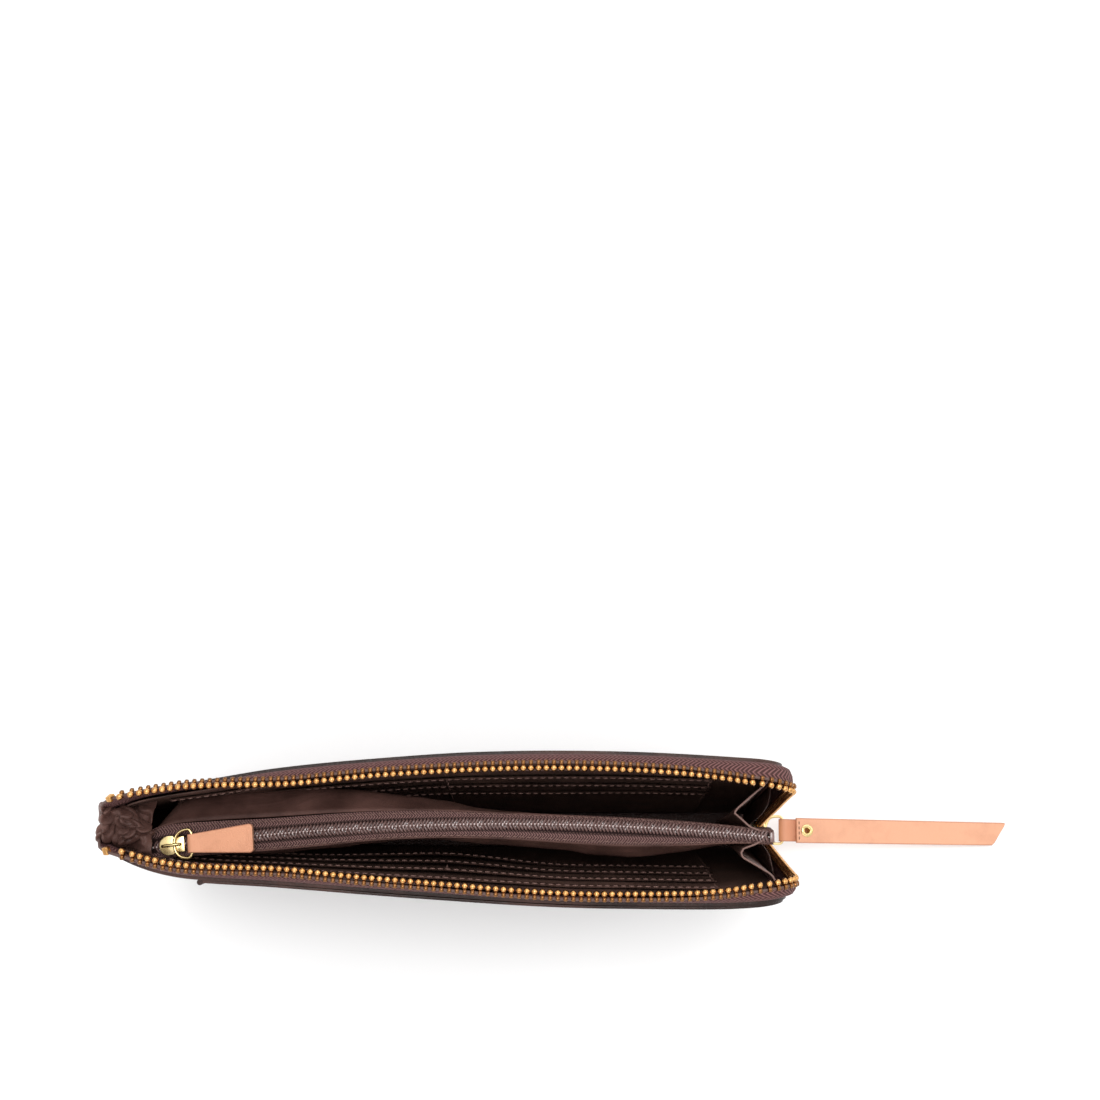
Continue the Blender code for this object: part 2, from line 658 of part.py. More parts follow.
def inner_slider():
    """Gold coil slider at the left end of the zip pocket, with a D ring and a folded leather tab."""
    angle = math.asin((INNER_START - ARC_CENTRE.x) / ARC_RADIUS)
    along = Vector((-math.cos(angle), math.sin(angle), 0))
    place = arc_point(INNER_START, 0, INNER_TAPE_HEIGHT + 0.7 * MM)
    frame = joint_frame("inner_slider_axis", place, along, (0, 0, 1))
    slider("inner_slider_body", frame, length=8.6 * MM, nose=7 * MM, tail=5.6 * MM, channel=2.6 * MM,
           plate=0.7 * MM, chain_half=2.1 * MM, throat=3.0 * MM, slot=1.15 * MM,
           bridge=(2.8 * MM, 2.2 * MM, 1.4 * MM, 0.7 * MM), material="pale_gold")
    wire = 0.9 * MM
    hinge = place + Vector((0, 0, 2.0 * MM + 0.75 * MM)) - along * 1.0 * MM
    yaw = math.radians(5)
    tilt = math.radians(-2)
    out = Vector((math.cos(yaw) * math.cos(tilt), math.sin(yaw), -math.sin(tilt)))
    up = Vector((math.sin(tilt), 0, math.cos(tilt)))
    ring_frame = joint_frame("inner_ring_axis", hinge, out, up)
    outline = [
        (0, -1.0), (0, 1.0), (0.7, 2.7), (2.0, 4.1), (3.8, 4.8), (5.4, 4.9), (6.2, 4.4),
        (6.2, -4.4), (5.4, -4.9), (3.8, -4.8), (2.0, -4.1), (0.7, -2.7),
    ]
    ring("inner_pull_ring", ring_frame, [(x * MM, y * MM) for x, y in outline], wire, "pale_gold")
    tab_frame = joint_frame("inner_tab_axis", hinge + 6.2 * MM * out, out, up)
    length = 20 * MM
    folded_leather("inner_pull_tab", tab_frame, length,
                   lambda x: (3.1 + 1.9 * max(x, 0) / length) * MM, 2.0 * MM, wire, "natural_leather")


def zip_stops():
    """Metal stops: one at the foot of the main chain, one on each row's left end, two on the coil zip."""
    chain_x = HALF_LENGTH + 3 * MM
    box("main_zip_bottom_stop", (2.6 * MM, 5 * MM, 3 * MM), (chain_x, 0, 6.6 * MM), "brass")
    for side, name in SIDE_NAMES.items():
        s = 18.6 * MM
        out, depth = zip_edge(side, s)
        place = zip_point(side, s, out, depth - 1.6 * MM)
        box(f"{name}_top_stop", (2.0 * MM, 2.2 * MM, 2.0 * MM), place, "brass")
    low, high = POCKET_ENDS
    z = INNER_TAPE_HEIGHT + 0.4 * TAPE + GAP + 0.75 * MM
    box("inner_zip_bottom_stop", (1.6 * MM, 3.6 * MM, 1.5 * MM), arc_point(high + 0.3 * MM, 0, z),
        "pale_gold")


def main():
    for obj in list(bpy.data.objects):
        bpy.data.objects.remove(obj)
    spine()
    covers()
    for side in SIDE_NAMES:
        divider_wall(side)
    zip_pocket_floor()
    inner_zip()
    gussets()
    left_end_panel()
    chain_x, height = main_slider()
    main_pull(chain_x, height)
    inner_slider()
    zip_stops()


main()
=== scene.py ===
import json
import math

import bmesh
import bpy
from mathutils import Matrix, Vector, noise


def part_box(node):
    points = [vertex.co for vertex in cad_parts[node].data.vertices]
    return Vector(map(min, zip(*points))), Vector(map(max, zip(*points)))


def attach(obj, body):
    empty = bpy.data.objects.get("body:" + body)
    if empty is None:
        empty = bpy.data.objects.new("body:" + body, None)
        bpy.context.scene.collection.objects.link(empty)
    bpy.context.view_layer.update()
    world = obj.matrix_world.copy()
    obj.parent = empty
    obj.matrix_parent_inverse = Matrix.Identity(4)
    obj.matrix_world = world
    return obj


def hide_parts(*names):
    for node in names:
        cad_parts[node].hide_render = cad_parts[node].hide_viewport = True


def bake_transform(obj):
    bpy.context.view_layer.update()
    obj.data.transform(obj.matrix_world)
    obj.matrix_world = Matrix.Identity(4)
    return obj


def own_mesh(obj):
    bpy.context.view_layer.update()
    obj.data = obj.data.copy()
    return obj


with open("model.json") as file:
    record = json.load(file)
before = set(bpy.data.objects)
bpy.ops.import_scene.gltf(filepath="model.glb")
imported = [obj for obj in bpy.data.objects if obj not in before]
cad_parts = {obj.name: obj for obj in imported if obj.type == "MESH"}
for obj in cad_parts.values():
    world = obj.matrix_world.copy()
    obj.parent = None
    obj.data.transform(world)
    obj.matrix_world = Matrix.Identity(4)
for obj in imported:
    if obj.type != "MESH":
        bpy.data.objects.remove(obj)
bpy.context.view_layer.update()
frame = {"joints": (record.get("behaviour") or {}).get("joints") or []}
MM = 0.001


# ---- Covers -------------------------------------------------------------------------------------
# Two thin panels of dark brown, finely grained leather, each cut with two round top corners and
# painted dark along its cut edge. They lean out from the spine and are wider apart to the right.
REAR, FRONT = 1, -1
SIDES = {REAR: "rear", FRONT: "front"}
HALF_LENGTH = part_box("rear_cover")[1][0]
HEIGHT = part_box("rear_cover")[1][2]
SPINE_HALF = 9.5 * MM
CORNER = 12 * MM
COVER_WALL = 1.1 * MM
# Half the width of the mouth along a cover's top edge: (x, half width) in millimetres.
MOUTH = {
    REAR: [(-113, 8.6), (-100, 12.9), (-79, 16.4), (-56, 20), (-23, 23.2), (10, 25.3), (60, 25.6),
           (113, 22.8)],
    FRONT: [(-113, 5.5), (-105.5, 9.6), (-95, 13.5), (-83, 15.8), (-55, 17.6), (-22, 19.8), (22, 22.8),
            (60, 24.2), (90, 24.5), (113, 23.2)],
}


def through(keys, x):
    """A smooth curve through (x, value) points."""
    last = len(keys) - 1
    slopes = []
    for i in range(last + 1):
        before, after = keys[max(i - 1, 0)], keys[min(i + 1, last)]
        slopes.append((after[1] - before[1]) / (after[0] - before[0]))
    i = 0
    while i < last - 1 and x > keys[i + 1][0]:
        i += 1
    (x0, y0), (x1, y1) = keys[i], keys[i + 1]
    span = x1 - x0
    t = min(max((x - x0) / span, 0), 1)
    rise = slopes[i] * t * (1 - t) ** 2 + slopes[i + 1] * t * t * (t - 1)
    return y0 * (1 + 2 * t) * (1 - t) ** 2 + y1 * t * t * (3 - 2 * t) + span * rise


def along(run, share):
    """The pair of values at a share of the way through a run of pairs, with equal steps between them."""
    step = share * (len(run) - 1)
    i = min(int(step), len(run) - 2)
    (a0, b0), (a1, b1) = run[i], run[i + 1]
    return a0 + (a1 - a0) * (step - i), b0 + (b1 - b0) * (step - i)


def ease(low, high, x):
    """0 below low, 1 above high, and smooth between."""
    t = min(max((x - low) / (high - low), 0), 1)
    return t * t * (3 - 2 * t)


def cover_y(side, x, z, depth=0.0):
    """Y of a cover's layer, with the faint waves that worn leather keeps."""
    rim = through(MOUTH[side], x / MM) * MM
    wave = 0.3 * MM * noise.noise(Vector((x * 22, z * 30, side * 4.0))) * ease(0, 40 * MM, z)
    return side * (SPINE_HALF + (rim - SPINE_HALF) * z / HEIGHT + wave - depth)


def edge_height(x, inset):
    """Height of a layer's top edge, which is inset from the leather's and rounds with its corners."""
    radius = max(CORNER - inset, 0.5 * MM)
    over = abs(x) - (HALF_LENGTH - inset - radius)
    top = HEIGHT - inset
    if over <= 0:
        return top
    return top - radius + math.sqrt(max(radius**2 - over**2, 0))


def column_x(a, low, high, left_round, right_round):
    """Spreads columns from low to high so that they crowd round a rounded corner."""
    turn = 0.1
    if left_round and a < turn:
        return low + left_round * (1 - math.cos(a / turn * math.pi / 2))
    if right_round and a > 1 - turn:
        return high - right_round * (1 - math.cos((1 - a) / turn * math.pi / 2))
    start = turn if left_round else 0
    stop = 1 - turn if right_round else 1
    share = (a - start) / (stop - start)
    return low + left_round + (high - right_round - low - left_round) * share


def sheet_mesh(columns, rows, flat, place):
    """A grid cut to flat = (length, width) whose UV map is in metres, put in its shape by place(a, b)."""
    bm = bmesh.new()
    uv = bm.loops.layers.uv.new("UVMap")
    bmesh.ops.create_grid(bm, x_segments=columns, y_segments=rows, size=0.5)
    for face in bm.faces:
        for loop in face.loops:
            loop[uv].uv = ((loop.vert.co.x + 0.5) * flat[0], (loop.vert.co.y + 0.5) * flat[1])
    for vert in bm.verts:
        vert.co = place(vert.co.x + 0.5, vert.co.y + 0.5)
    return bm


def piece(name, bm, material, angle=40):
    """A finished piece from its bmesh, smooth up to the given angle."""
    mesh = bpy.data.meshes.new(name)
    bm.to_mesh(mesh)
    bm.free()
    mesh.materials.append(material)
    mesh.shade_smooth()
    mesh.set_sharp_from_angle(angle=math.radians(angle))
    obj = bpy.data.objects.new(name, mesh)
    bpy.context.scene.collection.objects.link(obj)
    return obj


def thicken(obj, thickness, edge=0.0, rim_material=None):
    """Gives a sheet its wall, with rounded edges if asked, and its cut edge another finish if given."""
    wall = obj.modifiers.new("Wall", "SOLIDIFY")
    wall.thickness = thickness
    wall.offset = 0
    if rim_material:
        obj.data.materials.append(rim_material)
        wall.material_offset_rim = 1
    if edge:
        rounding = obj.modifiers.new("Rounded edge", "BEVEL")
        rounding.width = edge
        rounding.segments = 3
        rounding.limit_method = "ANGLE"
        rounding.angle_limit = math.radians(50)
    return obj


def hang_on_cover(obj):
    """Bakes the piece's transform into its mesh."""
    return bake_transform(obj)


def new_material(name, colour, roughness, metallic=0.0):
    """A material, its node tree and its shader."""
    material = bpy.data.materials.new(name)
    material.use_nodes = True
    tree = material.node_tree
    shader = tree.nodes["Principled BSDF"]
    shader.inputs["Base Color"].default_value = (*colour, 1)
    shader.inputs["Roughness"].default_value = roughness
    shader.inputs["Metallic"].default_value = metallic
    return material, tree, shader


def node(tree, kind, inputs=(), **settings):
    """A shader node with its settings, and its inputs from values or from other nodes' outputs."""
    made = tree.nodes.new(kind)
    for key, value in settings.items():
        setattr(made, key, value)
    for key, value in dict(inputs).items():
        if isinstance(value, bpy.types.NodeSocket):
            tree.links.new(value, made.inputs[key])
        else:
            made.inputs[key].default_value = value
    return made


def math_node(tree, operation, a, b=0.0):
    return node(tree, "ShaderNodeMath", {0: a, 1: b}, operation=operation).outputs[0]


def shade_between(tree, share, dark, light):
    """A colour between two, by a 0 to 1 share."""
    mix = node(tree, "ShaderNodeMix", {"Factor": share, "A": (*dark, 1), "B": (*light, 1)},
               data_type="RGBA")
    return mix.outputs["Result"]


def value_between(tree, share, low, high):
    made = node(tree, "ShaderNodeMapRange", {"Value": share, "To Min": low, "To Max": high})
    return made.outputs["Result"]


def raise_surface(tree, shader, height, distance, strength=1.0):
    """Bumps the surface by a height."""
    bump = node(tree, "ShaderNodeBump", {"Height": height, "Distance": distance, "Strength": strength})
    tree.links.new(bump.outputs["Normal"], shader.inputs["Normal"])


def make_group(name, values):
    """A shader node group with number inputs and an Object-coordinate input, and its two ends."""
    group = bpy.data.node_groups.new(name, "ShaderNodeTree")
    group.interface.new_socket("Vector", in_out="INPUT", socket_type="NodeSocketVector")
    for key in values:
        group.interface.new_socket(key, in_out="INPUT", socket_type="NodeSocketFloat")
    for key in ("Height", "Mask"):
        group.interface.new_socket(key, in_out="OUTPUT", socket_type="NodeSocketFloat")
    return group, group.nodes.new("NodeGroupInput"), group.nodes.new("NodeGroupOutput")


def grain_group():
    """Leather grain: rounded pebbles cut by creases. Mask is its slow variation in tone."""
    group, start, end = make_group("leather_grain", ["Pebble"])
    scaled = node(group, "ShaderNodeVectorMath", {0: start.outputs["Vector"]}, operation="SCALE")
    group.links.new(start.outputs["Pebble"], scaled.inputs["Scale"])
    place = scaled.outputs["Vector"]
    bend = node(group, "ShaderNodeTexNoise", {"Vector": place, "Scale": 0.7, "Detail": 2.0})
    bent = node(group, "ShaderNodeVectorMath", {0: place, 1: bend.outputs["Color"]}, operation="ADD")
    cells = node(group, "ShaderNodeTexVoronoi", {"Vector": bent.outputs["Vector"], "Scale": 1.0},
                 feature="DISTANCE_TO_EDGE")
    pebbles = node(group, "ShaderNodeMapRange",
                   {"Value": cells.outputs["Distance"], "From Max": 0.25}, interpolation_type="SMOOTHSTEP")
    fine = node(group, "ShaderNodeTexNoise", {"Vector": place, "Scale": 3.5, "Detail": 3.0})
    height = math_node(group, "ADD", pebbles.outputs["Result"],
                       math_node(group, "MULTIPLY", fine.outputs["Fac"], 0.6))
    slow = node(group, "ShaderNodeTexNoise", {"Vector": place, "Scale": 0.045, "Detail": 4.0})
    group.links.new(height, end.inputs["Height"])
    group.links.new(slow.outputs["Fac"], end.inputs["Mask"])
    return group


GRAIN = grain_group()


def grained(tree, pebbles_per_metre):
    """Places the leather grain in a material, on Object coordinates."""
    coords = node(tree, "ShaderNodeTexCoord")
    made = node(tree, "ShaderNodeGroup", {}, node_tree=GRAIN)
    tree.links.new(coords.outputs["Object"], made.inputs["Vector"])
    made.inputs["Pebble"].default_value = pebbles_per_metre
    return made.outputs["Height"], made.outputs["Mask"]


def brown_leather():
    material, tree, shader = new_material("brown_leather", (0.045, 0.02, 0.015), 0.4)
    shader.inputs["Specular IOR Level"].default_value = 0.35
    height, mask = grained(tree, 1100)
    tone = value_between(tree, mask, -0.6, 1.6)
    colour = shade_between(tree, tone, (0.034, 0.0145, 0.011), (0.055, 0.023, 0.017))
    tree.links.new(colour, shader.inputs["Base Color"])
    tree.links.new(value_between(tree, mask, 0.34, 0.56), shader.inputs["Roughness"])
    raise_surface(tree, shader, height, 0.12 * MM)
    return material


def edge_paint():
    material, tree, shader = new_material("edge_paint", (0.02, 0.011, 0.01), 0.4)
    shader.inputs["Specular IOR Level"].default_value = 0.3
    height, mask = grained(tree, 500)
    tone = value_between(tree, mask, -1.2, 1.4)
    colour = shade_between(tree, tone, (0.018, 0.007, 0.005), (0.15, 0.062, 0.045))
    tree.links.new(colour, shader.inputs["Base Color"])
    raise_surface(tree, shader, height, 0.05 * MM)
    return material


BROWN_LEATHER = brown_leather()
EDGE_PAINT = edge_paint()
COVER_FOOT = 3.3 * MM

for side, side_name in SIDES.items():

    def cover_place(a, b):
        x = column_x(a, -HALF_LENGTH, HALF_LENGTH, CORNER, CORNER)
        z = COVER_FOOT + (edge_height(x, 0) - COVER_FOOT) * b
        return Vector((x, cover_y(side, x, z, COVER_WALL / 2), z))

    size = (2 * HALF_LENGTH, HEIGHT)
    cover = piece(f"{side_name}_leather", sheet_mesh(120, 40, size, cover_place), BROWN_LEATHER)
    thicken(cover, COVER_WALL, 0.35 * MM, EDGE_PAINT)
    hang_on_cover(cover)
    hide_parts(f"{side_name}_cover", f"{side_name}_board")


# ---- Spine ----------------------------------------------------------------------------------------
# A strip of the same leather wraps under the pouch from cover to cover, with a soft crease along
# each long edge. The pouch stands on its flat underside.
SPINE_WALL = 1.4 * MM


def spine_place(a, b):
    x = -HALF_LENGTH + 2 * HALF_LENGTH * a
    mid = SPINE_WALL / 2
    half, turn = SPINE_HALF - mid, 2.2 * MM
    run = [(-half, COVER_FOOT - 0.3 * MM), (-half, mid + turn)]
    run += [(-half + turn * (1 - math.cos(t)), mid + turn * (1 - math.sin(t))) for t in (0.4, 0.8, 1.2)]
    run += [(-half + turn, mid), (-half / 3, mid)]
    run += [(-y, z) for y, z in reversed(run)]
    return Vector((x, *along(run, b)))


spine = piece("spine_leather", sheet_mesh(60, 13, (2 * HALF_LENGTH, 24 * MM), spine_place),
              BROWN_LEATHER)
thicken(spine, SPINE_WALL, 0.35 * MM, EDGE_PAINT)
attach(spine, "core")
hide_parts("spine_panel", "spine_board")


# ---- Slip pocket ------------------------------------------------------------------------------------
# An open pocket of the same leather on the outside of the front cover. Its left edge is rolled over
# a cord, and its top edge stands a little open.
POCKET_LEFT = -80 * MM
POCKET_FOOT = 5 * MM
POCKET_WALL = 0.9 * MM


def slip_pocket_place(a, b):
    x = column_x(a, POCKET_LEFT, HALF_LENGTH - 1 * MM, 0, CORNER - 1 * MM)
    z = POCKET_FOOT + (edge_height(x, 1 * MM) - POCKET_FOOT) * b
    gape = 0.3 * MM * math.sin(math.pi * a) * ease(0.6, 1, b)
    return Vector((x, cover_y(FRONT, x, z, -POCKET_WALL / 2 - 0.1 * MM - gape), z))


slip_pocket = piece("slip_pocket", sheet_mesh(110, 40, (192 * MM, 110 * MM), slip_pocket_place),
                    BROWN_LEATHER)
thicken(slip_pocket, POCKET_WALL, 0.35 * MM, EDGE_PAINT)
hang_on_cover(slip_pocket)
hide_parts("front_slip_pocket")


def swept(name, points, radius, material, closed=False, resolution=3):
    """A round bar or cord through points, with closed ends."""
    curve = bpy.data.curves.new(name, "CURVE")
    curve.dimensions = "3D"
    curve.bevel_depth = radius
    curve.bevel_resolution = resolution
    curve.use_fill_caps = True
    spline = curve.splines.new("POLY")
    spline.points.add(len(points) - 1)
    for point, place in zip(spline.points, points):
        point.co = (*place, 1)
    spline.use_cyclic_u = closed
    source = bpy.data.objects.new(name + "_line", curve)
    bpy.context.scene.collection.objects.link(source)
    bpy.context.view_layer.update()
    mesh = bpy.data.meshes.new_from_object(source)
    bpy.data.objects.remove(source)
    bm = bmesh.new()
    bm.from_mesh(mesh)
    bpy.data.meshes.remove(mesh)
    bmesh.ops.remove_doubles(bm, verts=bm.verts, dist=1e-6)
    bmesh.ops.recalc_face_normals(bm, faces=bm.faces)
    return piece(name, bm, material)


roll = [Vector((POCKET_LEFT, cover_y(FRONT, POCKET_LEFT, z, -0.8 * MM), z))
        for z in (POCKET_FOOT + (HEIGHT - 1.0 * MM - POCKET_FOOT) * k / 20 for k in range(21))]
pocket_roll = swept("slip_pocket_rolled_edge", roll, 1.0 * MM, BROWN_LEATHER, resolution=4)
hang_on_cover(pocket_roll)


# ---- Stitching of the leather -------------------------------------------------------------------------
# Lock stitches in brown thread run just inside the covers' edges and round the slip pocket. Each one
# sinks a little into the leather at its ends.
def thread(name, colour):
    material, tree, shader = new_material(name, colour, 0.6)
    coords = node(tree, "ShaderNodeTexCoord")
    twist = node(tree, "ShaderNodeTexWave", {"Vector": coords.outputs["Object"], "Scale": 900.0},
                 bands_direction="DIAGONAL")
    tree.links.new(shade_between(tree, twist.outputs["Fac"], tuple(0.7 * c for c in colour), colour),
                   shader.inputs["Base Color"])
    raise_surface(tree, shader, twist.outputs["Fac"], 0.05 * MM)
    return material


BROWN_THREAD = thread("brown_thread", (0.13, 0.072, 0.06))
ROSE_THREAD = thread("rose_brown_thread", (0.27, 0.155, 0.13))


def stitches(name, line, length, pitch, radius, material):
    """Stitches at an even pitch along line(distance), which gives (point, outward direction)."""
    shape = bmesh.new()
    bmesh.ops.create_uvsphere(shape, u_segments=6, v_segments=4, radius=1)
    bmesh.ops.scale(shape, vec=(radius, radius, 0.36 * pitch), verts=shape.verts)
    one = bpy.data.meshes.new(name + "_one")
    shape.to_mesh(one)
    shape.free()
    bm = bmesh.new()
    for k in range(int(length / pitch)):
        here, out = line((k + 0.5) * pitch)
        ahead, _ = line((k + 0.6) * pitch)
        along = (ahead - here).normalized()
        across = out.cross(along).normalized()
        turn = Matrix((across, along.cross(across), along)).transposed().to_4x4()
        first = len(bm.verts)
        bm.from_mesh(one)
        bm.verts.ensure_lookup_table()
        bmesh.ops.transform(bm, matrix=Matrix.Translation(here) @ turn, verts=bm.verts[first:])
    bpy.data.meshes.remove(one)
    return piece(name, bm, material)


def rim_point(s, inset):
    """(x, z) a distance s along the left, top and right of a cover, inset from its edge, from its foot."""
    radius = CORNER - inset
    side_run = HEIGHT - CORNER - 6 * MM
    bend = math.pi / 2 * radius
    top = 2 * (HALF_LENGTH - CORNER)
    turn_x, turn_z = HALF_LENGTH - CORNER, HEIGHT - CORNER
    if s < side_run:
        return -HALF_LENGTH + inset, 6 * MM + s
    s -= side_run
    if s < bend:
        angle = math.pi - s / radius
        return -turn_x + radius * math.cos(angle), turn_z + radius * math.sin(angle)
    s -= bend
    if s < top:
        return -turn_x + s, HEIGHT - inset
    s -= top
    if s < bend:
        angle = math.pi / 2 - s / radius
        return turn_x + radius * math.cos(angle), turn_z + radius * math.sin(angle)
    return HALF_LENGTH - inset, turn_z - (s - bend)


SEAM_INSET = 2.6 * MM
SEAM_LENGTH = 2 * (HEIGHT - CORNER - 6 * MM) + math.pi * (CORNER - SEAM_INSET) + 2 * (HALF_LENGTH - CORNER)


def cover_seam(side, inset, depth):
    """The line of a seam that follows a cover's edge, on its outside."""

    def line(s):
        x, z = rim_point(s, inset)
        over_pocket = side == FRONT and x > POCKET_LEFT
        lift = POCKET_WALL + 0.15 * MM if over_pocket else 0
        return Vector((x, cover_y(side, x, z, depth - lift), z)), Vector((0, side, 0))

    return line


for side, side_name in SIDES.items():
    seam = stitches(f"{side_name}_edge_stitches", cover_seam(side, SEAM_INSET, 0.08 * MM), SEAM_LENGTH,
                    3.2 * MM, 0.24 * MM, BROWN_THREAD)
    hang_on_cover(seam)


def pocket_seam(s):
    z = POCKET_FOOT + 2 * MM + s
    x = POCKET_LEFT + 3.2 * MM
    return Vector((x, cover_y(FRONT, x, z, -POCKET_WALL - 0.1 * MM), z)), Vector((0, -1, 0))


def pocket_foot_seam(s):
    x, z = POCKET_LEFT + 3 * MM + s, POCKET_FOOT + 2.2 * MM
    return Vector((x, cover_y(FRONT, x, z, -POCKET_WALL - 0.1 * MM), z)), Vector((0, -1, 0))


for name, line, length in (("slip_pocket_side_stitches", pocket_seam, 104 * MM),
                           ("slip_pocket_foot_stitches", pocket_foot_seam, 184 * MM)):
    seam = stitches(name, line, length, 3.2 * MM, 0.26 * MM, BROWN_THREAD)
    hang_on_cover(seam)


# ---- Lining -----------------------------------------------------------------------------------------
# Dark brown satin is glued to the inside of each cover and sewn in under the zip tape. It shows fine
# weave, a soft sheen and shallow creases.
def cloth_group():
    """Satin: fine threads in Height, with drawn creases, and slow tone changes in Mask."""
    group, start, end = make_group("satin_weave", ["Threads", "Creases"])
    place = start.outputs["Vector"]
    scaled = node(group, "ShaderNodeVectorMath", {0: place}, operation="SCALE")
    group.links.new(start.outputs["Threads"], scaled.inputs["Scale"])
    apart = node(group, "ShaderNodeSeparateXYZ", {0: scaled.outputs["Vector"]})
    warp = math_node(group, "SINE", math_node(group, "MULTIPLY", apart.outputs["X"], 6.2832))
    weft = math_node(group, "SINE", math_node(group, "MULTIPLY", apart.outputs["Z"], 6.2832))
    woven = math_node(group, "MULTIPLY", warp, weft)
    drawn = node(group, "ShaderNodeMapping", {"Vector": place, "Scale": (26.0, 26.0, 110.0),
                                              "Rotation": (0.0, 0.35, 0.0)})
    crease = node(group, "ShaderNodeTexNoise", {"Vector": drawn.outputs["Vector"], "Scale": 1.0,
                                                "Detail": 3.0, "Distortion": 1.2})
    strong = math_node(group, "MULTIPLY", crease.outputs["Fac"], start.outputs["Creases"])
    height = math_node(group, "ADD", math_node(group, "MULTIPLY", woven, 0.05), strong)
    slow = node(group, "ShaderNodeTexNoise", {"Vector": place, "Scale": 90.0, "Detail": 5.0})
    group.links.new(height, end.inputs["Height"])
    group.links.new(slow.outputs["Fac"], end.inputs["Mask"])
    return group


SATIN_WEAVE = cloth_group()


def satin(name, dark, light, creases):
    material, tree, shader = new_material(name, light, 0.42)
    coords = node(tree, "ShaderNodeTexCoord")
    weave = node(tree, "ShaderNodeGroup", {}, node_tree=SATIN_WEAVE)
    tree.links.new(coords.outputs["Object"], weave.inputs["Vector"])
    weave.inputs["Threads"].default_value = 2600
    weave.inputs["Creases"].default_value = creases
    colour = shade_between(tree, value_between(tree, weave.outputs["Mask"], -0.7, 1.7), dark, light)
    tree.links.new(colour, shader.inputs["Base Color"])
    tree.links.new(value_between(tree, weave.outputs["Mask"], 0.36, 0.56), shader.inputs["Roughness"])
    shader.inputs["Specular IOR Level"].default_value = 0.3
    shader.inputs["Sheen Weight"].default_value = 0.06
    shader.inputs["Sheen Tint"].default_value = (0.6, 0.36, 0.28, 1)
    raise_surface(tree, shader, weave.outputs["Height"], 0.8 * MM)
    return material


LINING_SATIN = satin("lining_satin", (0.034, 0.018, 0.014), (0.105, 0.055, 0.044), 1.0)
POCKET_SATIN = satin("pocket_satin", (0.055, 0.025, 0.02), (0.15, 0.074, 0.06), 1.3)
LINING_DEPTH = 2.95 * MM
LINING_WALL = 0.4 * MM

for side, side_name in SIDES.items():

    def lining_place(a, b):
        x = column_x(a, -106 * MM, 110 * MM, 8 * MM, 8 * MM)
        z = 2.2 * MM + (edge_height(x, 3 * MM) - 2.2 * MM) * b
        return Vector((x, cover_y(side, x, z, LINING_DEPTH), z))

    lining_size = (216 * MM, 111 * MM)
    lining = piece(f"{side_name}_satin_lining", sheet_mesh(100, 40, lining_size, lining_place),
                   LINING_SATIN)
    thicken(lining, LINING_WALL)
    hang_on_cover(lining)
    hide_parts(f"{side_name}_lining")


# ---- Card pockets -----------------------------------------------------------------------------------
# Four strips of satin lie on each lining, each one lower and one layer nearer the middle than the last.
# A strip's top is folded over and topstitched; seams at its ends and in its middle make two columns.
TIERS = 4
TIER_TOP = 106 * MM
TIER_DROP = 12 * MM
TIER_HEIGHT = 54 * MM
TIER_ENDS = (-93.5 * MM, 91.5 * MM)
COLUMN_SEAM = -1.4 * MM
STRIP_WALL = 0.3 * MM
FIRST_STRIP_DEPTH = 3.4 * MM
STRIP_STEP = 0.46 * MM
FOLD_DOWN = 4.5 * MM
# How far a strip's top is drawn in to the middle of the pouch: (x, distance) in millimetres.
SLACK = {
    REAR: [(-94, 0), (-60, 0.4), (-30, 0.3), (-1, 0.2), (40, 0.6), (70, 0.3), (92, 0)],
    FRONT: [(-94, 0), (-52, 0.2), (-24, 1.5), (-3, 2.6), (14, 2.0), (38, 0.2), (60, 0.1), (92, 0)],
}


def strip_depth(side, tier, x, below):
    """Depth of a card strip, below its top edge by a distance."""
    slack = through(SLACK[side], x / MM) * MM * (0.15 + 0.29 * tier)
    return FIRST_STRIP_DEPTH + tier * STRIP_STEP + slack * (1 - ease(0, 34 * MM, below))


def strip_mesh(side, tier):
    top = TIER_TOP - tier * TIER_DROP
    front_run = TIER_HEIGHT / (TIER_HEIGHT + FOLD_DOWN)

    def place(a, b):
        x = TIER_ENDS[0] + (TIER_ENDS[1] - TIER_ENDS[0]) * a
        droop = 0.5 * MM * noise.noise(Vector((x * 60, tier * 3.0, side)))
        if b <= front_run:
            below = TIER_HEIGHT * (1 - b / front_run)
            fold = 0.0
        else:
            below = FOLD_DOWN * (b - front_run) / (1 - front_run)
            fold = 0.42 * MM
        z = top + droop - below
        return Vector((x, cover_y(side, x, z, strip_depth(side, tier, x, below) + fold), z))

    return sheet_mesh(130, 26, (TIER_ENDS[1] - TIER_ENDS[0], TIER_HEIGHT + FOLD_DOWN), place)


def strip_seam(side, tier, below):
    top = TIER_TOP - tier * TIER_DROP

    def line(s):
        x = TIER_ENDS[0] + s
        z = top - below + 0.5 * MM * noise.noise(Vector((x * 60, tier * 3.0, side)))
        depth = strip_depth(side, tier, x, below) + 0.75 * MM
        return Vector((x, cover_y(side, x, z, depth), z)), Vector((0, -side, 0.3)).normalized()

    return line


for side, side_name in SIDES.items():
    for tier in range(TIERS):
        strip = piece(f"{side_name}_card_strip_{tier + 1}", strip_mesh(side, tier), LINING_SATIN)
        thicken(strip, STRIP_WALL)
        hang_on_cover(strip)
        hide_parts(f"{side_name}_card_pocket_tier_{tier + 1}")
        hem = stitches(f"{side_name}_card_strip_{tier + 1}_stitches", strip_seam(side, tier, 1.5 * MM),
                       TIER_ENDS[1] - TIER_ENDS[0], 2.7 * MM, 0.2 * MM, ROSE_THREAD)
        hang_on_cover(hem)


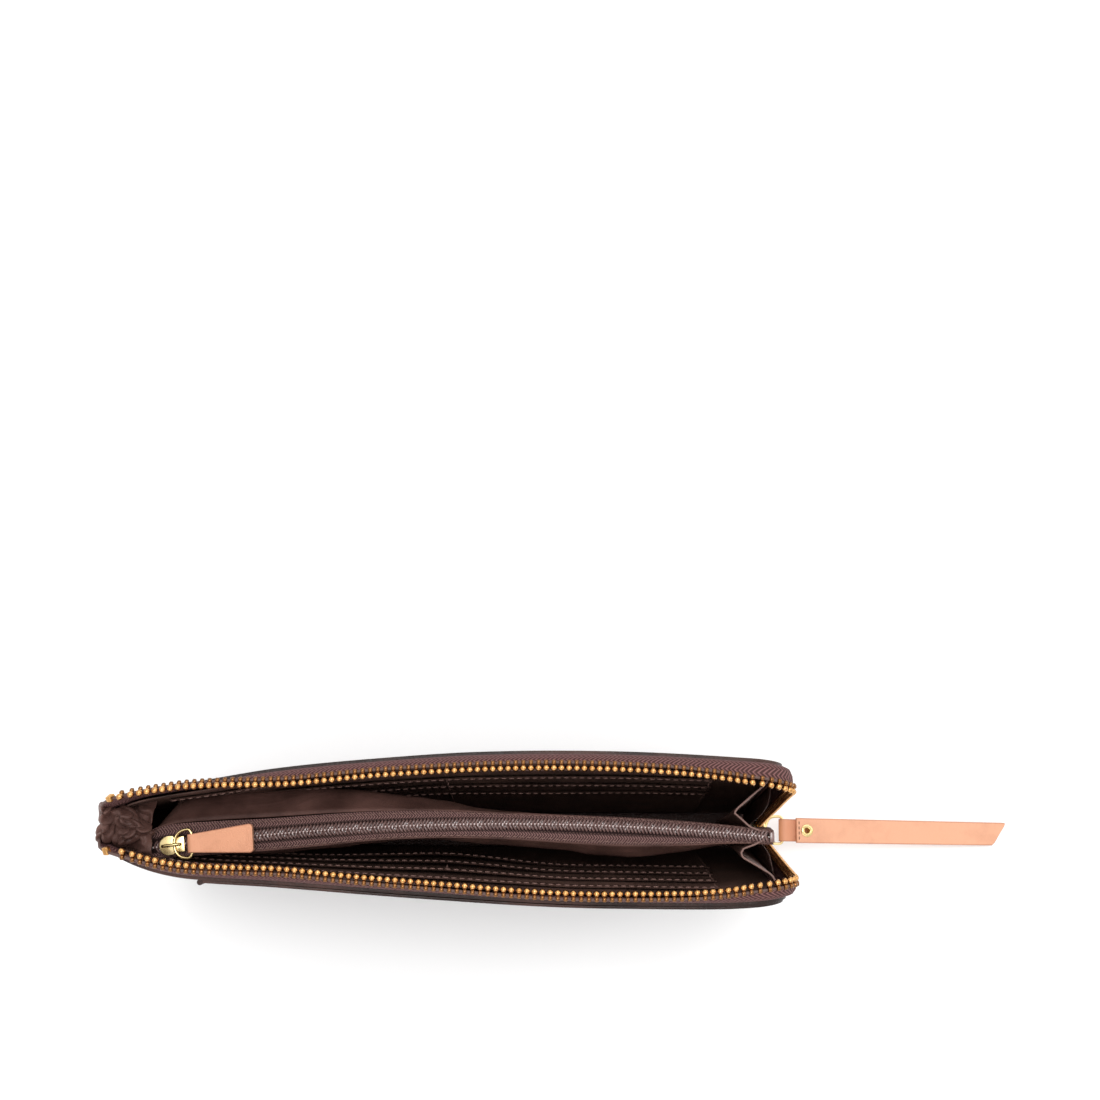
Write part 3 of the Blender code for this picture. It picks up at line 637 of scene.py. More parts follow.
def column_seam(side, x):
    """A seam that runs down through the card strips."""

    def line(s):
        z = TIER_TOP - 1 * MM - s
        tier = min(max(math.ceil((TIER_TOP - z) / TIER_DROP) - 1, 0), TIERS - 1)
        below = TIER_TOP - tier * TIER_DROP - z
        depth = strip_depth(side, tier, x, below) + (0.75 if below < FOLD_DOWN else 0.35) * MM
        return Vector((x, cover_y(side, x, z, depth), z)), Vector((0, -side, 0))

    return line


for side, side_name in SIDES.items():
    for label, x in (("left", TIER_ENDS[0] + 1.2 * MM), ("middle", COLUMN_SEAM),
                     ("right", TIER_ENDS[1] - 1.2 * MM)):
        seam = stitches(f"{side_name}_card_{label}_seam", column_seam(side, x), 62 * MM, 2.7 * MM,
                        0.2 * MM, ROSE_THREAD)
        hang_on_cover(seam)


# ---- Main zip tapes ---------------------------------------------------------------------------------
# Brown herringbone tape, sewn between leather and lining. It stands up past the leather's edge and
# turns in to hold the teeth on a corded edge; at the left end both tapes turn down and close.
TAPE_WALL = 0.6 * MM
TAPE_SEWN = 7 * MM
SEWN_DEPTH = 1.55 * MM
TOOTH_PITCH = 2.5 * MM
FIRST_TOOTH = 26.5 * MM
TOP_CLIP_LEAD = 2.2 * MM
TAIL_FOOT = 92 * MM
CHAIN_FOOT = 10 * MM
LEFT_RUN = HEIGHT - CORNER - TAIL_FOOT
TOP_RUN = 2 * (HALF_LENGTH - CORNER)
BEND_RUN = math.pi / 2 * CORNER
RIM_RUN = LEFT_RUN + 2 * BEND_RUN + TOP_RUN
ZIP_RUN = RIM_RUN + HEIGHT - CORNER - CHAIN_FOOT
# Along the zip's run: how far the teeth's heads stand out past the leather, and in from the cover's
# outer face, and how far the teeth are tipped up, in degrees
STAND_OUT = [(0, 3.2), (12, 3.6), (31, 6.5), (60, 6), (150, 5.5), (225, 5), (242, 3.4), (352, 3)]
STAND_IN = {
    REAR: [(0, 1), (22, 1), (29, 1), (38, 1.3), (48, 1.6), (61, 3.3), (71, 4.9), (83, 6.0), (110, 5.8),
           (132, 6.0), (171, 5.9), (204, 6.4), (220, 7.1), (236, 8.4), (245, 9.1), (254, 9), (331.5, 10.1),
           (337.7, 11.2), (340, 11.25), (346, 10.5)],
    FRONT: [(0, 2.6), (22, 3.2), (29, 3.9), (36, 4.4), (52, 4.6), (70, 5.1), (82, 5.3), (96, 4.8), (132, 4.3),
            (171, 3.7), (208, 4.3), (221, 5), (234, 6.3), (242, 6.6), (254, 6.4), (331.5, 10.5),
            (337.7, 11.5), (340, 11.5), (346, 10.7)],
}
TIPPED = {
    REAR: [(0, 20), (22, 50), (31, 62), (45, 58), (60, 42), (80, 20), (100, 8), (132, 3), (352, 0)],
    FRONT: [(0, 10), (22, 24), (40, 22), (70, 8), (110, 2), (352, 0)],
}
TAIL_IN = {REAR: 5.6 * MM, FRONT: 8.1 * MM}


def rim_at(s):
    """Point and outward normal (x, z) on the leather's edge, a distance s along the zip's run."""
    turn_x, turn_z = HALF_LENGTH - CORNER, HEIGHT - CORNER
    if s < LEFT_RUN:
        return -HALF_LENGTH, TAIL_FOOT + s, -1.0, 0.0
    s -= LEFT_RUN
    if s < BEND_RUN:
        angle = math.pi - s / CORNER
        nx, nz = math.cos(angle), math.sin(angle)
        return -turn_x + CORNER * nx, turn_z + CORNER * nz, nx, nz
    s -= BEND_RUN
    if s < TOP_RUN:
        return -turn_x + s, HEIGHT, 0.0, 1.0
    s -= TOP_RUN
    if s < BEND_RUN:
        angle = math.pi / 2 - s / CORNER
        nx, nz = math.cos(angle), math.sin(angle)
        return turn_x + CORNER * nx, turn_z + CORNER * nz, nx, nz
    return HALF_LENGTH, turn_z - (s - BEND_RUN), 1.0, 0.0


def zip_point(side, s, out, depth):
    """A point of the main zip: out past the leather's edge, and depth in from the cover's outer face."""
    x, z, nx, nz = rim_at(s)
    inside = min(out, 0)
    y = cover_y(side, x + inside * nx, z + inside * nz, depth)
    return Vector((x + out * nx, y, z + out * nz))


def zip_head(side, s):
    """Where a tooth's head is at s, as (out, depth), and the way that the tooth points."""
    tip_up = math.radians(through(TIPPED[side], s / MM))
    place = Vector((through(STAND_OUT, s / MM), through(STAND_IN[side], s / MM))) * MM
    return place, Vector((math.sin(tip_up), math.cos(tip_up)))


def tape_section(side, s):
    """The tape from its sewn edge to its corded one, as (out, depth) pairs. Its bare tail folds inwards."""
    head, way = zip_head(side, s)
    out, depth = head - way * 1.8 * MM
    tail = 1 - ease(13 * MM, 21 * MM, s)
    out += (3.2 * MM - out) * tail
    depth = max(depth, 0.5 * MM)
    depth += (TAIL_IN[side] - depth) * tail
    more = depth - SEWN_DEPTH
    return [(-TAPE_SEWN, SEWN_DEPTH), (-1 * MM, SEWN_DEPTH), (0.3 * out, SEWN_DEPTH - 0.1 * MM),
            (0.7 * out, SEWN_DEPTH + 0.1 * more), (0.94 * out, SEWN_DEPTH + 0.45 * more), (out, depth)]


def tape_mesh(side, start, stop):
    columns = int((stop - start) / (2.2 * MM))

    def place(a, b):
        s = start + (stop - start) * a
        return zip_point(side, s, *along(tape_section(side, s), b))

    return sheet_mesh(columns, 15, (stop - start, 14 * MM), place)


def herringbone(name, rib_pitch, dark, light, painted_shade_width=0):
    """Tape woven in narrow bands whose ribs slant left and right by turns, from the piece's own UV map.
    It is painted dark up to a given distance from the map's lower edge, as painted shade under the coil that
    lies there."""
    material, tree, shader = new_material(name, light, 0.75)
    shader.inputs["Specular IOR Level"].default_value = 0.15
    coords = node(tree, "ShaderNodeUVMap", {}, uv_map="UVMap")
    apart = node(tree, "ShaderNodeSeparateXYZ", {0: coords.outputs["UV"]})
    band = math_node(tree, "PINGPONG", apart.outputs["Y"], 1.7 * rib_pitch)
    slant = math_node(tree, "ADD", apart.outputs["X"], band)
    wave = math_node(tree, "SINE", math_node(tree, "MULTIPLY", slant, 2 * math.pi / rib_pitch))
    rib = node(tree, "ShaderNodeMapRange", {"Value": wave, "From Min": -0.8, "From Max": 0.9},
               interpolation_type="SMOOTHSTEP").outputs["Result"]
    fuzz = node(tree, "ShaderNodeTexNoise", {"Vector": coords.outputs["UV"], "Scale": 700.0, "Detail": 3.0})
    tone = math_node(tree, "ADD", math_node(tree, "MULTIPLY", rib, 0.7),
                     math_node(tree, "MULTIPLY", fuzz.outputs["Fac"], 0.35))
    # Painted shade: the tape is darkened near its lower edge, where the coil lies over it.
    if painted_shade_width:
        clear = node(tree, "ShaderNodeMapRange", {"Value": apart.outputs["Y"], "From Min": painted_shade_width - 0.3 * MM,
                                                  "From Max": painted_shade_width + 0.2 * MM}).outputs["Result"]
        tone = math_node(tree, "MULTIPLY", tone, clear)
    tree.links.new(shade_between(tree, tone, dark, light), shader.inputs["Base Color"])
    raise_surface(tree, shader, rib, 0.4 * MM)
    return material


HERRINGBONE = herringbone("herringbone_tape", 1.45 * MM, (0.028, 0.010, 0.010), (0.24, 0.115, 0.108))


def hang_on_side(obj):
    """Bakes the piece's transform into its mesh."""
    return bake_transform(obj)


for side, side_name in SIDES.items():
    rim_tape = piece(f"{side_name}_zip_tape_rim", tape_mesh(side, 0, RIM_RUN), HERRINGBONE)
    side_tape = piece(f"{side_name}_zip_tape_side", tape_mesh(side, RIM_RUN, ZIP_RUN + 5 * MM), HERRINGBONE)
    for tape in (rim_tape, side_tape):
        thicken(tape, TAPE_WALL, 0.15 * MM)
    hang_on_cover(rim_tape)
    hang_on_side(side_tape)
    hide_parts(f"{side_name}_zip_tape")


# ---- Teeth ------------------------------------------------------------------------------------------
# Brass teeth are clamped one by one on each tape's cord: a round head that meets the other row, a
# narrow neck, and two legs squeezed over the cord.
def brass(name, dark, light, roughness, tarnish=None):
    """Brass with faint spots. Given a tarnish, it keeps that colour where the "worn" attribute is 0."""
    material, tree, shader = new_material(name, light, roughness, 1.0)
    coords = node(tree, "ShaderNodeTexCoord")
    spots = node(tree, "ShaderNodeTexNoise", {"Vector": coords.outputs["Object"], "Scale": 420.0,
                                              "Detail": 4.0})
    tone = value_between(tree, spots.outputs["Fac"], -0.3, 1.3)
    colour = shade_between(tree, tone, dark, light)
    if tarnish:
        worn = node(tree, "ShaderNodeAttribute", {}, attribute_name="worn")
        mixed = node(tree, "ShaderNodeMix", {"Factor": worn.outputs["Fac"], "A": (*tarnish, 1), "B": colour},
                     data_type="RGBA")
        colour = mixed.outputs["Result"]
    tree.links.new(colour, shader.inputs["Base Color"])
    tree.links.new(value_between(tree, spots.outputs["Fac"], roughness - 0.08, roughness + 0.14),
                   shader.inputs["Roughness"])
    raise_surface(tree, shader, spots.outputs["Fac"], 0.03 * MM)
    return material


TOOTH_BRASS = brass("tooth_brass", (0.38, 0.17, 0.045), (0.80, 0.46, 0.17), 0.22)
WORN_BRASS = brass("worn_tooth_brass", (0.42, 0.19, 0.055), (0.86, 0.50, 0.20), 0.2, (0.22, 0.10, 0.038))
PALE_GOLD = brass("pale_gold", (0.62, 0.45, 0.18), (0.95, 0.78, 0.42), 0.24)


def tooth_shape():
    """One tooth: X along the row, Y out of the tape and Z towards the other row. Its head is the origin."""
    bm = bmesh.new()
    head = bmesh.ops.create_uvsphere(bm, u_segments=8, v_segments=6, radius=1)["verts"]
    bmesh.ops.scale(bm, vec=(1.12 * MM, 1.22 * MM, 1.15 * MM), verts=head)
    neck = bmesh.ops.create_cube(bm, size=1)["verts"]
    bmesh.ops.scale(bm, vec=(0.7 * MM, 1.2 * MM, 1.3 * MM), verts=neck)
    bmesh.ops.translate(bm, vec=(0, -0.3 * MM, -1.0 * MM), verts=neck)
    legs = bmesh.ops.create_cube(bm, size=1)["verts"]
    bmesh.ops.scale(bm, vec=(1.35 * MM, 2.5 * MM, 1.5 * MM), verts=legs)
    bmesh.ops.translate(bm, vec=(0, 0.05 * MM, -1.8 * MM), verts=legs)
    edges = list({e for v in legs for e in v.link_edges})
    bmesh.ops.bevel(bm, geom=edges, offset=0.3 * MM, segments=1, affect="EDGES", profile=0.5, material=-1)
    bmesh.ops.recalc_face_normals(bm, faces=bm.faces)
    worn = bm.verts.layers.float.new("worn")
    for vert in bm.verts:
        vert[worn] = ease(-1.3 * MM, -0.6 * MM, vert.co.z)
    mesh = bpy.data.meshes.new("tooth")
    bm.to_mesh(mesh)
    bm.free()
    return mesh


TOOTH = tooth_shape()


def tooth_axes(side, s):
    """A tooth's place and axes at s."""
    (out, depth), (up, into) = zip_head(side, s)
    _, _, nx, nz = rim_at(s)
    inward, outward = Vector((0, -side, 0)), Vector((nx, 0, nz))
    ahead = inward * into + outward * up
    rise = outward * into - inward * up
    axes = Matrix((rise.cross(ahead), rise, ahead)).transposed().to_4x4()
    return Matrix.Translation(zip_point(side, s, out, depth)) @ axes


def tooth_row(side, start, stop):
    """Every tooth between two places on the run. The rows are half a pitch apart, so that they mesh."""
    first = FIRST_TOOTH + (1.25 * MM if side == REAR else 2.5 * MM)
    bm = bmesh.new()
    k = 0
    while first + k * TOOTH_PITCH < stop:
        s = first + k * TOOTH_PITCH
        k += 1
        if s < start:
            continue
        twist = 0.06 * noise.noise(Vector((k * 0.9, side, 2)))
        place = tooth_axes(side, s) @ Matrix.Rotation(twist, 4, "Z")
        count = len(bm.verts)
        bm.from_mesh(TOOTH)
        bm.verts.ensure_lookup_table()
        bmesh.ops.transform(bm, matrix=place, verts=bm.verts[count:])
    return bm


def cord_points(side, start, stop):
    steps = int((stop - start) / (2.5 * MM))
    points = []
    for k in range(steps + 1):
        s = start + (stop - start) * k / steps
        out, held = tape_section(side, s)[-1]
        points.append(zip_point(side, s, out, held))
    return points


for side, side_name in SIDES.items():
    rim_teeth = piece(f"{side_name}_teeth_rim", tooth_row(side, 0, RIM_RUN), WORN_BRASS, 75)
    side_teeth = piece(f"{side_name}_teeth_side", tooth_row(side, RIM_RUN, ZIP_RUN), WORN_BRASS, 75)
    rim_cord = swept(f"{side_name}_zip_cord_rim", cord_points(side, 0, RIM_RUN), 0.5 * MM, BROWN_THREAD)
    side_cord = swept(f"{side_name}_zip_cord_side", cord_points(side, RIM_RUN, ZIP_RUN + 4 * MM), 0.5 * MM,
                      BROWN_THREAD)
    for obj in (rim_teeth, rim_cord):
        hang_on_cover(obj)
    for obj in (side_teeth, side_cord):
        hang_on_side(obj)
    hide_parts(f"{side_name}_tooth_row")
bpy.data.meshes.remove(TOOTH)


# ---- Zip stops ----------------------------------------------------------------------------------------
# Small brass clips: one squeezed over each tape's cord above its first tooth, and one across both
# tapes at the foot of the chain.
def clip(name, size, axes, replaced, material):
    bm = bmesh.new()
    bmesh.ops.create_cube(bm, size=1)
    bmesh.ops.scale(bm, vec=size, verts=bm.verts)
    bmesh.ops.bevel(bm, geom=bm.edges[:], offset=0.35 * MM, segments=3, affect="EDGES", profile=0.5,
                    material=-1)
    bmesh.ops.transform(bm, matrix=axes, verts=bm.verts)
    made = piece(name, bm, material)
    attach(made, "core")
    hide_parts(replaced)
    return made


for side, side_name in SIDES.items():
    axes = tooth_axes(side, FIRST_TOOTH - TOP_CLIP_LEAD) @ Matrix.Translation((0, 0, -1.4 * MM))
    clip(f"{side_name}_zip_top_clip", Vector((2.2, 1.9, 2.6)) * MM, axes, f"{side_name}_top_stop",
         TOOTH_BRASS)
low, high = (Vector(c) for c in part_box("main_zip_bottom_stop"))
clip("main_zip_foot_clip", high - low, Matrix.Translation((low + high) / 2), "main_zip_bottom_stop",
     TOOTH_BRASS)


# ---- Zip pocket -----------------------------------------------------------------------------------------
# A satin pocket stands down the middle and parts the pouch in two. It is sewn to a coil zip along its
# top, hangs slack, and swells to the rear on the left and to the front on the right.
ARC_CENTRE = Vector((20 * MM, -897 * MM, 0))
ARC_RADIUS = 899 * MM
POCKET_START, POCKET_END = -100.5 * MM, 110 * MM
BAND_TOP = 101.1 * MM
WALL_FOOT = 5 * MM
# Half the width of the zip's band on each side, and how far each wall reaches at its fullest, against x.
BAND_HALF = {
    REAR: [(-101, 5.6), (-96, 7), (-80, 6.4), (-60, 5.4), (-24, 5.2), (0, 4.6), (21, 3.7), (45, 3.1),
           (80, 2.9), (110, 2.4)],
    FRONT: [(-101, 3.6), (-64, 5.2), (-43, 5.1), (-24, 4.4), (0, 4.4), (21, 5), (40, 6), (60, 6.2), (80, 5.1),
            (96, 3.3), (110, 2.4)],
}
SWELL = {
    REAR: [(-101, -0.5), (-97, 5), (-92, 10), (-75, 12.9), (-55, 13.8), (-30, 13), (-3, 10.3), (10, 7.8),
           (30, 5.4), (60, 3), (110, 0.4)],
    FRONT: [(-101, -8.6), (-64, -8), (-43, -6), (-20, -3.6), (0, -3.2), (30, -5.8), (60, -9.2), (80, -7),
            (96, -4.8), (110, -4.2)],
}


def arc_point(x, across, z):
    """A point beside the zip's arc, on its own radius."""
    angle = math.asin((x - ARC_CENTRE.x) / ARC_RADIUS)
    radius = ARC_RADIUS + across
    return Vector((ARC_CENTRE.x + radius * math.sin(angle), ARC_CENTRE.y + radius * math.cos(angle), z))


def band_edge(side, x):
    return through(BAND_HALF[side], x / MM) * MM


def wall_y(side, x, z):
    """Y of a pocket wall: from the zip's band out to its fullest height, then in to the spine."""
    band = arc_point(x, side * band_edge(side, x) * 0.93, z).y
    full = through(SWELL[side], x / MM) * MM
    foot = side * 1.2 * MM
    fullest = 91 * MM
    if z > fullest:
        y = full + (band - full) * ease(fullest, BAND_TOP + 2 * MM, z)
    else:
        y = foot + (full - foot) * (z / fullest) ** 1.3
    ripple = noise.noise(Vector((x * 45, z * 18, side * 7.0))) + 0.5 * noise.noise(
        Vector((x * 130, z * 60, side * 3.0)))
    return y + 0.7 * MM * ripple * ease(WALL_FOOT, 30 * MM, z) * (1 - ease(95 * MM, BAND_TOP, z))


for side, side_name in SIDES.items():

    def wall_place(a, b):
        x = POCKET_START + (POCKET_END - POCKET_START) * a
        z = WALL_FOOT + (BAND_TOP - 0.3 * MM - WALL_FOOT) * b
        return Vector((x, wall_y(side, x, z), z))

    wall_size = (POCKET_END - POCKET_START, 97 * MM)
    wall = piece(f"zip_pocket_{side_name}_satin", sheet_mesh(150, 60, wall_size, wall_place),
                 POCKET_SATIN)
    thicken(wall, 0.4 * MM)
    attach(wall, "core")
    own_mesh(wall)
    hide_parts(f"zip_pocket_{side_name}_wall")


# ---- Coil zip -------------------------------------------------------------------------------------------
# The pocket's zip: on each of two brown tapes a coil of nylon is sewn down, and the closed coils mesh
# in a line of chevrons. The satin is turned and topstitched along the tapes' edges.
COIL_PITCH = 1.2 * MM


def band_place(side):
    def place(a, b):
        x = POCKET_START + (POCKET_END - POCKET_START) * a
        across = 0.15 * MM + (band_edge(side, x) - 0.15 * MM) * b
        sag = 0.9 * MM * ease(0.55, 1, b)
        return arc_point(x, side * across, BAND_TOP - sag)

    return place


def nylon(name, dark, light):
    material, tree, shader = new_material(name, light, 0.2)
    coords = node(tree, "ShaderNodeTexCoord")
    tone = node(tree, "ShaderNodeTexNoise", {"Vector": coords.outputs["Object"], "Scale": 300.0})
    colour = shade_between(tree, tone.outputs["Fac"], dark, light)
    tree.links.new(colour, shader.inputs["Base Color"])
    shader.inputs["Specular IOR Level"].default_value = 0.8
    return material


NYLON = nylon("brown_nylon", (0.10, 0.055, 0.05), (0.27, 0.16, 0.145))
# The locked heads are the same brown nylon, painted near white as a painted highlight where they catch the
# light.
PAINTED_HIGHLIGHT_NYLON = nylon("nylon_painted_highlight", (0.55, 0.44, 0.42), (0.85, 0.76, 0.74))
# The coil tape is darkened on its inner half as painted shade under the coil.
BAND_TWILL = herringbone("coil_zip_tape", 0.95 * MM, (0.03, 0.014, 0.013), (0.34, 0.19, 0.175), 2.5 * MM)


def coil_points(side):
    """One coil, as a flattened helix whose legs slant towards the right as they leave the middle."""
    turns = int((POCKET_END - POCKET_START - 3 * MM) / COIL_PITCH)
    around = 12
    points = []
    for k in range(turns * around):
        angle = 2 * math.pi * k / around
        reach = 0.5 - 0.5 * math.cos(angle)
        x = POCKET_START + 1.5 * MM + COIL_PITCH * (k / around + (0 if side == REAR else 0.5))
        x += reach * 0.75 * MM
        across = (-0.3 + 2.1 * reach) * MM
        crown = 0.35 * MM * (1 - reach) * (1 + math.sin(angle)) / 2
        points.append(arc_point(x, side * across, BAND_TOP + 0.95 * MM + crown + 0.4 * MM * math.sin(angle)))
    return points


def coil_heads():
    """The heads of the turns, in a line where the two coils lock."""
    shape = bmesh.new()
    bmesh.ops.create_uvsphere(shape, u_segments=6, v_segments=4, radius=1)
    bmesh.ops.scale(shape, vec=(0.3 * MM, 0.42 * MM, 0.4 * MM), verts=shape.verts)
    one = bpy.data.meshes.new("coil_head")
    shape.to_mesh(one)
    shape.free()
    bm = bmesh.new()
    for k in range(int((POCKET_END - POCKET_START - 3 * MM) / COIL_PITCH)):
        x = POCKET_START + 1.5 * MM + COIL_PITCH * k
        count = len(bm.verts)
        bm.from_mesh(one)
        bm.verts.ensure_lookup_table()
        place = arc_point(x, 0, BAND_TOP + 1.5 * MM)
        bmesh.ops.transform(bm, matrix=Matrix.Translation(place), verts=bm.verts[count:])
    bpy.data.meshes.remove(one)
    return bm


def band_seam(side, share):
    def line(s):
        x = POCKET_START + 2 * MM + s
        across = band_edge(side, x) * share
        z = BAND_TOP - 0.5 * MM * ease(0.55, 1, share) + 0.3 * MM
        return arc_point(x, side * across, z), Vector((0, 0, 1))

    return line


for side, side_name in SIDES.items():
    band = piece(f"coil_zip_{side_name}_band", sheet_mesh(150, 10, (214 * MM, 5 * MM), band_place(side)),
                 BAND_TWILL)
    thicken(band, 0.5 * MM, 0.12 * MM)
    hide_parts(f"inner_zip_{side_name}_tape")
    coil = swept(f"coil_zip_{side_name}_coil", coil_points(side), 0.31 * MM, NYLON,
                 resolution=1)
    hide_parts(f"inner_zip_{side_name}_coil")
    seam = stitches(f"coil_zip_{side_name}_stitches", band_seam(side, 0.84), 208 * MM, 2.4 * MM, 0.2 * MM,
                    ROSE_THREAD)
    inner_seam = stitches(f"coil_zip_{side_name}_coil_stitches", band_seam(side, 0.44), 206 * MM, 1.2 * MM,
                          0.16 * MM, BROWN_THREAD)
    for obj in (band, coil, seam, inner_seam):
        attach(obj, "core")
# The locked heads take the near-white nylon, a painted highlight.
heads = piece("coil_zip_locked_heads", coil_heads(), PAINTED_HIGHLIGHT_NYLON, 75)
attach(heads, "core")


# ---- Gussets --------------------------------------------------------------------------------------------
# Satin panels folded into a V at the right end tie the pocket to the covers. Their top edges are bound
# with a fine rolled hem. A slack web of lining closes the side below, lowest in the middle.
GUSSET_TOP = 102 * MM
# From the pocket to the cover: (x, y) of a gusset's top edge in millimetres.
GUSSET_PLAN = {
    REAR: [(106, -0.4), (102.5, 1), (99.6, 3.4), (97, 5.6), (98.2, 7.3), (102.5, 11), (106.3, 14.2),
           (110.3, 18.6)],
    FRONT: [(106.5, -3.4), (103.5, -4.8), (99.6, -6.2), (98.9, -7.6), (99.8, -9.2), (103.6, -11.6),
            (109, -14.8), (110.8, -18.8)],
}


def gusset_line(side, a, z):
    """A point of a gusset: its plan at the top narrows to the spine at the foot, with slack ripples."""
    x, y = along(GUSSET_PLAN[side], a)
    up = z / GUSSET_TOP
    ripple = 0.7 * noise.noise(Vector((a * 4, z * 35, side * 3.0)))
    return Vector(((x + 2 * (1 - up) + ripple) * MM, y * MM * (0.32 + 0.68 * up), z))


for side, side_name in SIDES.items():

    def gusset_place(a, b):
        return gusset_line(side, a, 5 * MM + (GUSSET_TOP - 5 * MM) * b)

    gusset_size = (27 * MM, 97 * MM)
    panel = piece(f"{side_name}_right_satin_gusset", sheet_mesh(24, 40, gusset_size, gusset_place),
                  POCKET_SATIN, 80)
    thicken(panel, 0.4 * MM)
    hem_line = [gusset_line(side, k / 24, GUSSET_TOP) for k in range(25)]
    hem = swept(f"{side_name}_right_gusset_hem", hem_line, 0.34 * MM, ROSE_THREAD)
    for obj in (panel, hem):
        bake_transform(obj)
    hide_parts(f"{side_name}_right_gusset")


def web_place(a, b):
    """A slack panel that closes the open side behind the main zip, up to where the gussets begin."""
    rise = 26 + 52 * ease(0.05, 0.6, abs(2 * a - 1))
    z = (4 + rise * b) * MM
    y = (2 * a - 1) * (7.0 + 0.11 * rise * b) * MM
    fold = 2.6 * MM * (1 - abs(2 * a - 1)) * b + 0.5 * MM * noise.noise(Vector((a * 5, z * 40, 1)))
    return Vector((112.4 * MM - fold, y, z))


web = piece("right_side_satin_web", sheet_mesh(24, 40, (34 * MM, 80 * MM), web_place), LINING_SATIN,
            80)
thicken(web, 0.4 * MM)
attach(web, "core")
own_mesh(web)


# ---- Left end -----------------------------------------------------------------------------------------
# Where the covers stay together, satin is gathered across the mouth into crumpled tufts between the
# zip tapes' tails, and a strip of leather closes the end below them.
def ridge(place):
    """Sharp creases and soft crests, from 0 to 1."""
    return 1 - min(abs(noise.noise(place)) * 2.4, 1)


def bunch_place(a, b):
    x = -115.6 + 16.8 * a
    across = 2 * b - 1
    middle = 2.4 - 3.2 * a
    half = 5.0 + 6.2 * a - 1.8 * (1 - a) ** 3
    z = 107.5 - 3.5 * a - 6.5 * abs(across) ** 3 - 5 * (1 - ease(0, 0.22, a))
    warp = noise.noise(Vector((a * 2, b * 2, 4))) * 0.8
    z += 3.2 * ridge(Vector((a * 2.2 + warp, b * 3.6, 9))) + 0.4 * ridge(Vector((a * 5, b * 7 + warp, 3)))
    return Vector((x, middle + half * across, z)) * MM


bunch_size = (22 * MM, 24 * MM)
bunch = piece("gathered_satin_end", sheet_mesh(70, 70, bunch_size, bunch_place), POCKET_SATIN,
              180)
thicken(bunch, 0.4 * MM)
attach(bunch, "core")


def tuft(name, centre, size, turn, seed, replaced=None):
    """A gathered knot of satin, creased from its middle outwards."""
    bm = bmesh.new()
    bmesh.ops.create_icosphere(bm, subdivisions=5, radius=1)
    for vert in bm.verts:
        out = vert.co.normalized()
        angle = math.atan2(out.y, out.x) + 1.8 * out.z
        folds = abs(math.sin(angle * 1.5 + 2 * noise.noise(out * 0.7 + Vector((seed, 0, 0)))))
        crease = ridge(out * 0.9 + Vector((0, seed, 0)))
        vert.co = out * (0.68 + 0.38 * folds + 0.22 * crease)
    bmesh.ops.scale(bm, vec=size * MM, verts=bm.verts)
    bmesh.ops.rotate(bm, matrix=Matrix.Rotation(turn, 3, "Z"), cent=(0, 0, 0), verts=bm.verts)
    bmesh.ops.translate(bm, vec=centre * MM, verts=bm.verts)
    made = piece(name, bm, POCKET_SATIN, 180)
    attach(made, "core")
    if replaced:
        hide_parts(replaced)


tuft("rear_gathered_tuft", Vector((-107.4, 3.9, 109)), Vector((4.3, 3.3, 4.6)), -0.5, 1.7, "rear_left_gusset")
tuft("rear_end_tuft", Vector((-113.4, 5.4, 107.5)), Vector((2.9, 3.9, 6)), 0.2, 6.3)
tuft("front_end_tuft", Vector((-113.2, -1.3, 107)), Vector((3.1, 3.5, 6)), -0.2, 8.9)
tuft("middle_gathered_tuft", Vector((-102.2, 0.8, 108)), Vector((4.6, 2.3, 4.2)), -0.45, 3.3)
tuft("front_gathered_tuft", Vector((-106.6, -2.0, 108)), Vector((4.2, 2.8, 4.2)), 0.5, 5.1,
     "front_left_gusset")


def left_end_place(a, b):
    y = (-8.2 + 16.4 * a) * MM
    z = 1.6 * MM + 104 * MM * b
    bow = (1 - (2 * a - 1) ** 2) * (1.0 + 1.2 * b) * MM
    return Vector((-HALF_LENGTH + 1.4 * MM + bow, y * (1 - 0.03 * b), z))


left_end = piece("left_end_leather", sheet_mesh(16, 40, (17 * MM, 104 * MM), left_end_place), BROWN_LEATHER)
thicken(left_end, 1.0 * MM, 0.3 * MM, EDGE_PAINT)
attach(left_end, "core")
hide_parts("left_end_panel", "zip_pocket_floor")


# ---- Sliders --------------------------------------------------------------------------------------------
# Cast sliders, plated in pale gold: two plates joined by a wedge at the wide, rounded nose, flanges
# that guide the tape along the narrow tail, and an arched bridge on top that holds the pull.
def box_between(bm, low, high, rounding):
    cube = bmesh.ops.create_cube(bm, size=1)["verts"]
    bmesh.ops.scale(bm, vec=[b - a for a, b in zip(low, high)], verts=cube)
    bmesh.ops.translate(bm, vec=[(a + b) / 2 for a, b in zip(low, high)], verts=cube)
    edges = list({e for v in cube for e in v.link_edges})
    bmesh.ops.bevel(bm, geom=edges, offset=rounding, segments=2, affect="EDGES", profile=0.5, material=-1)


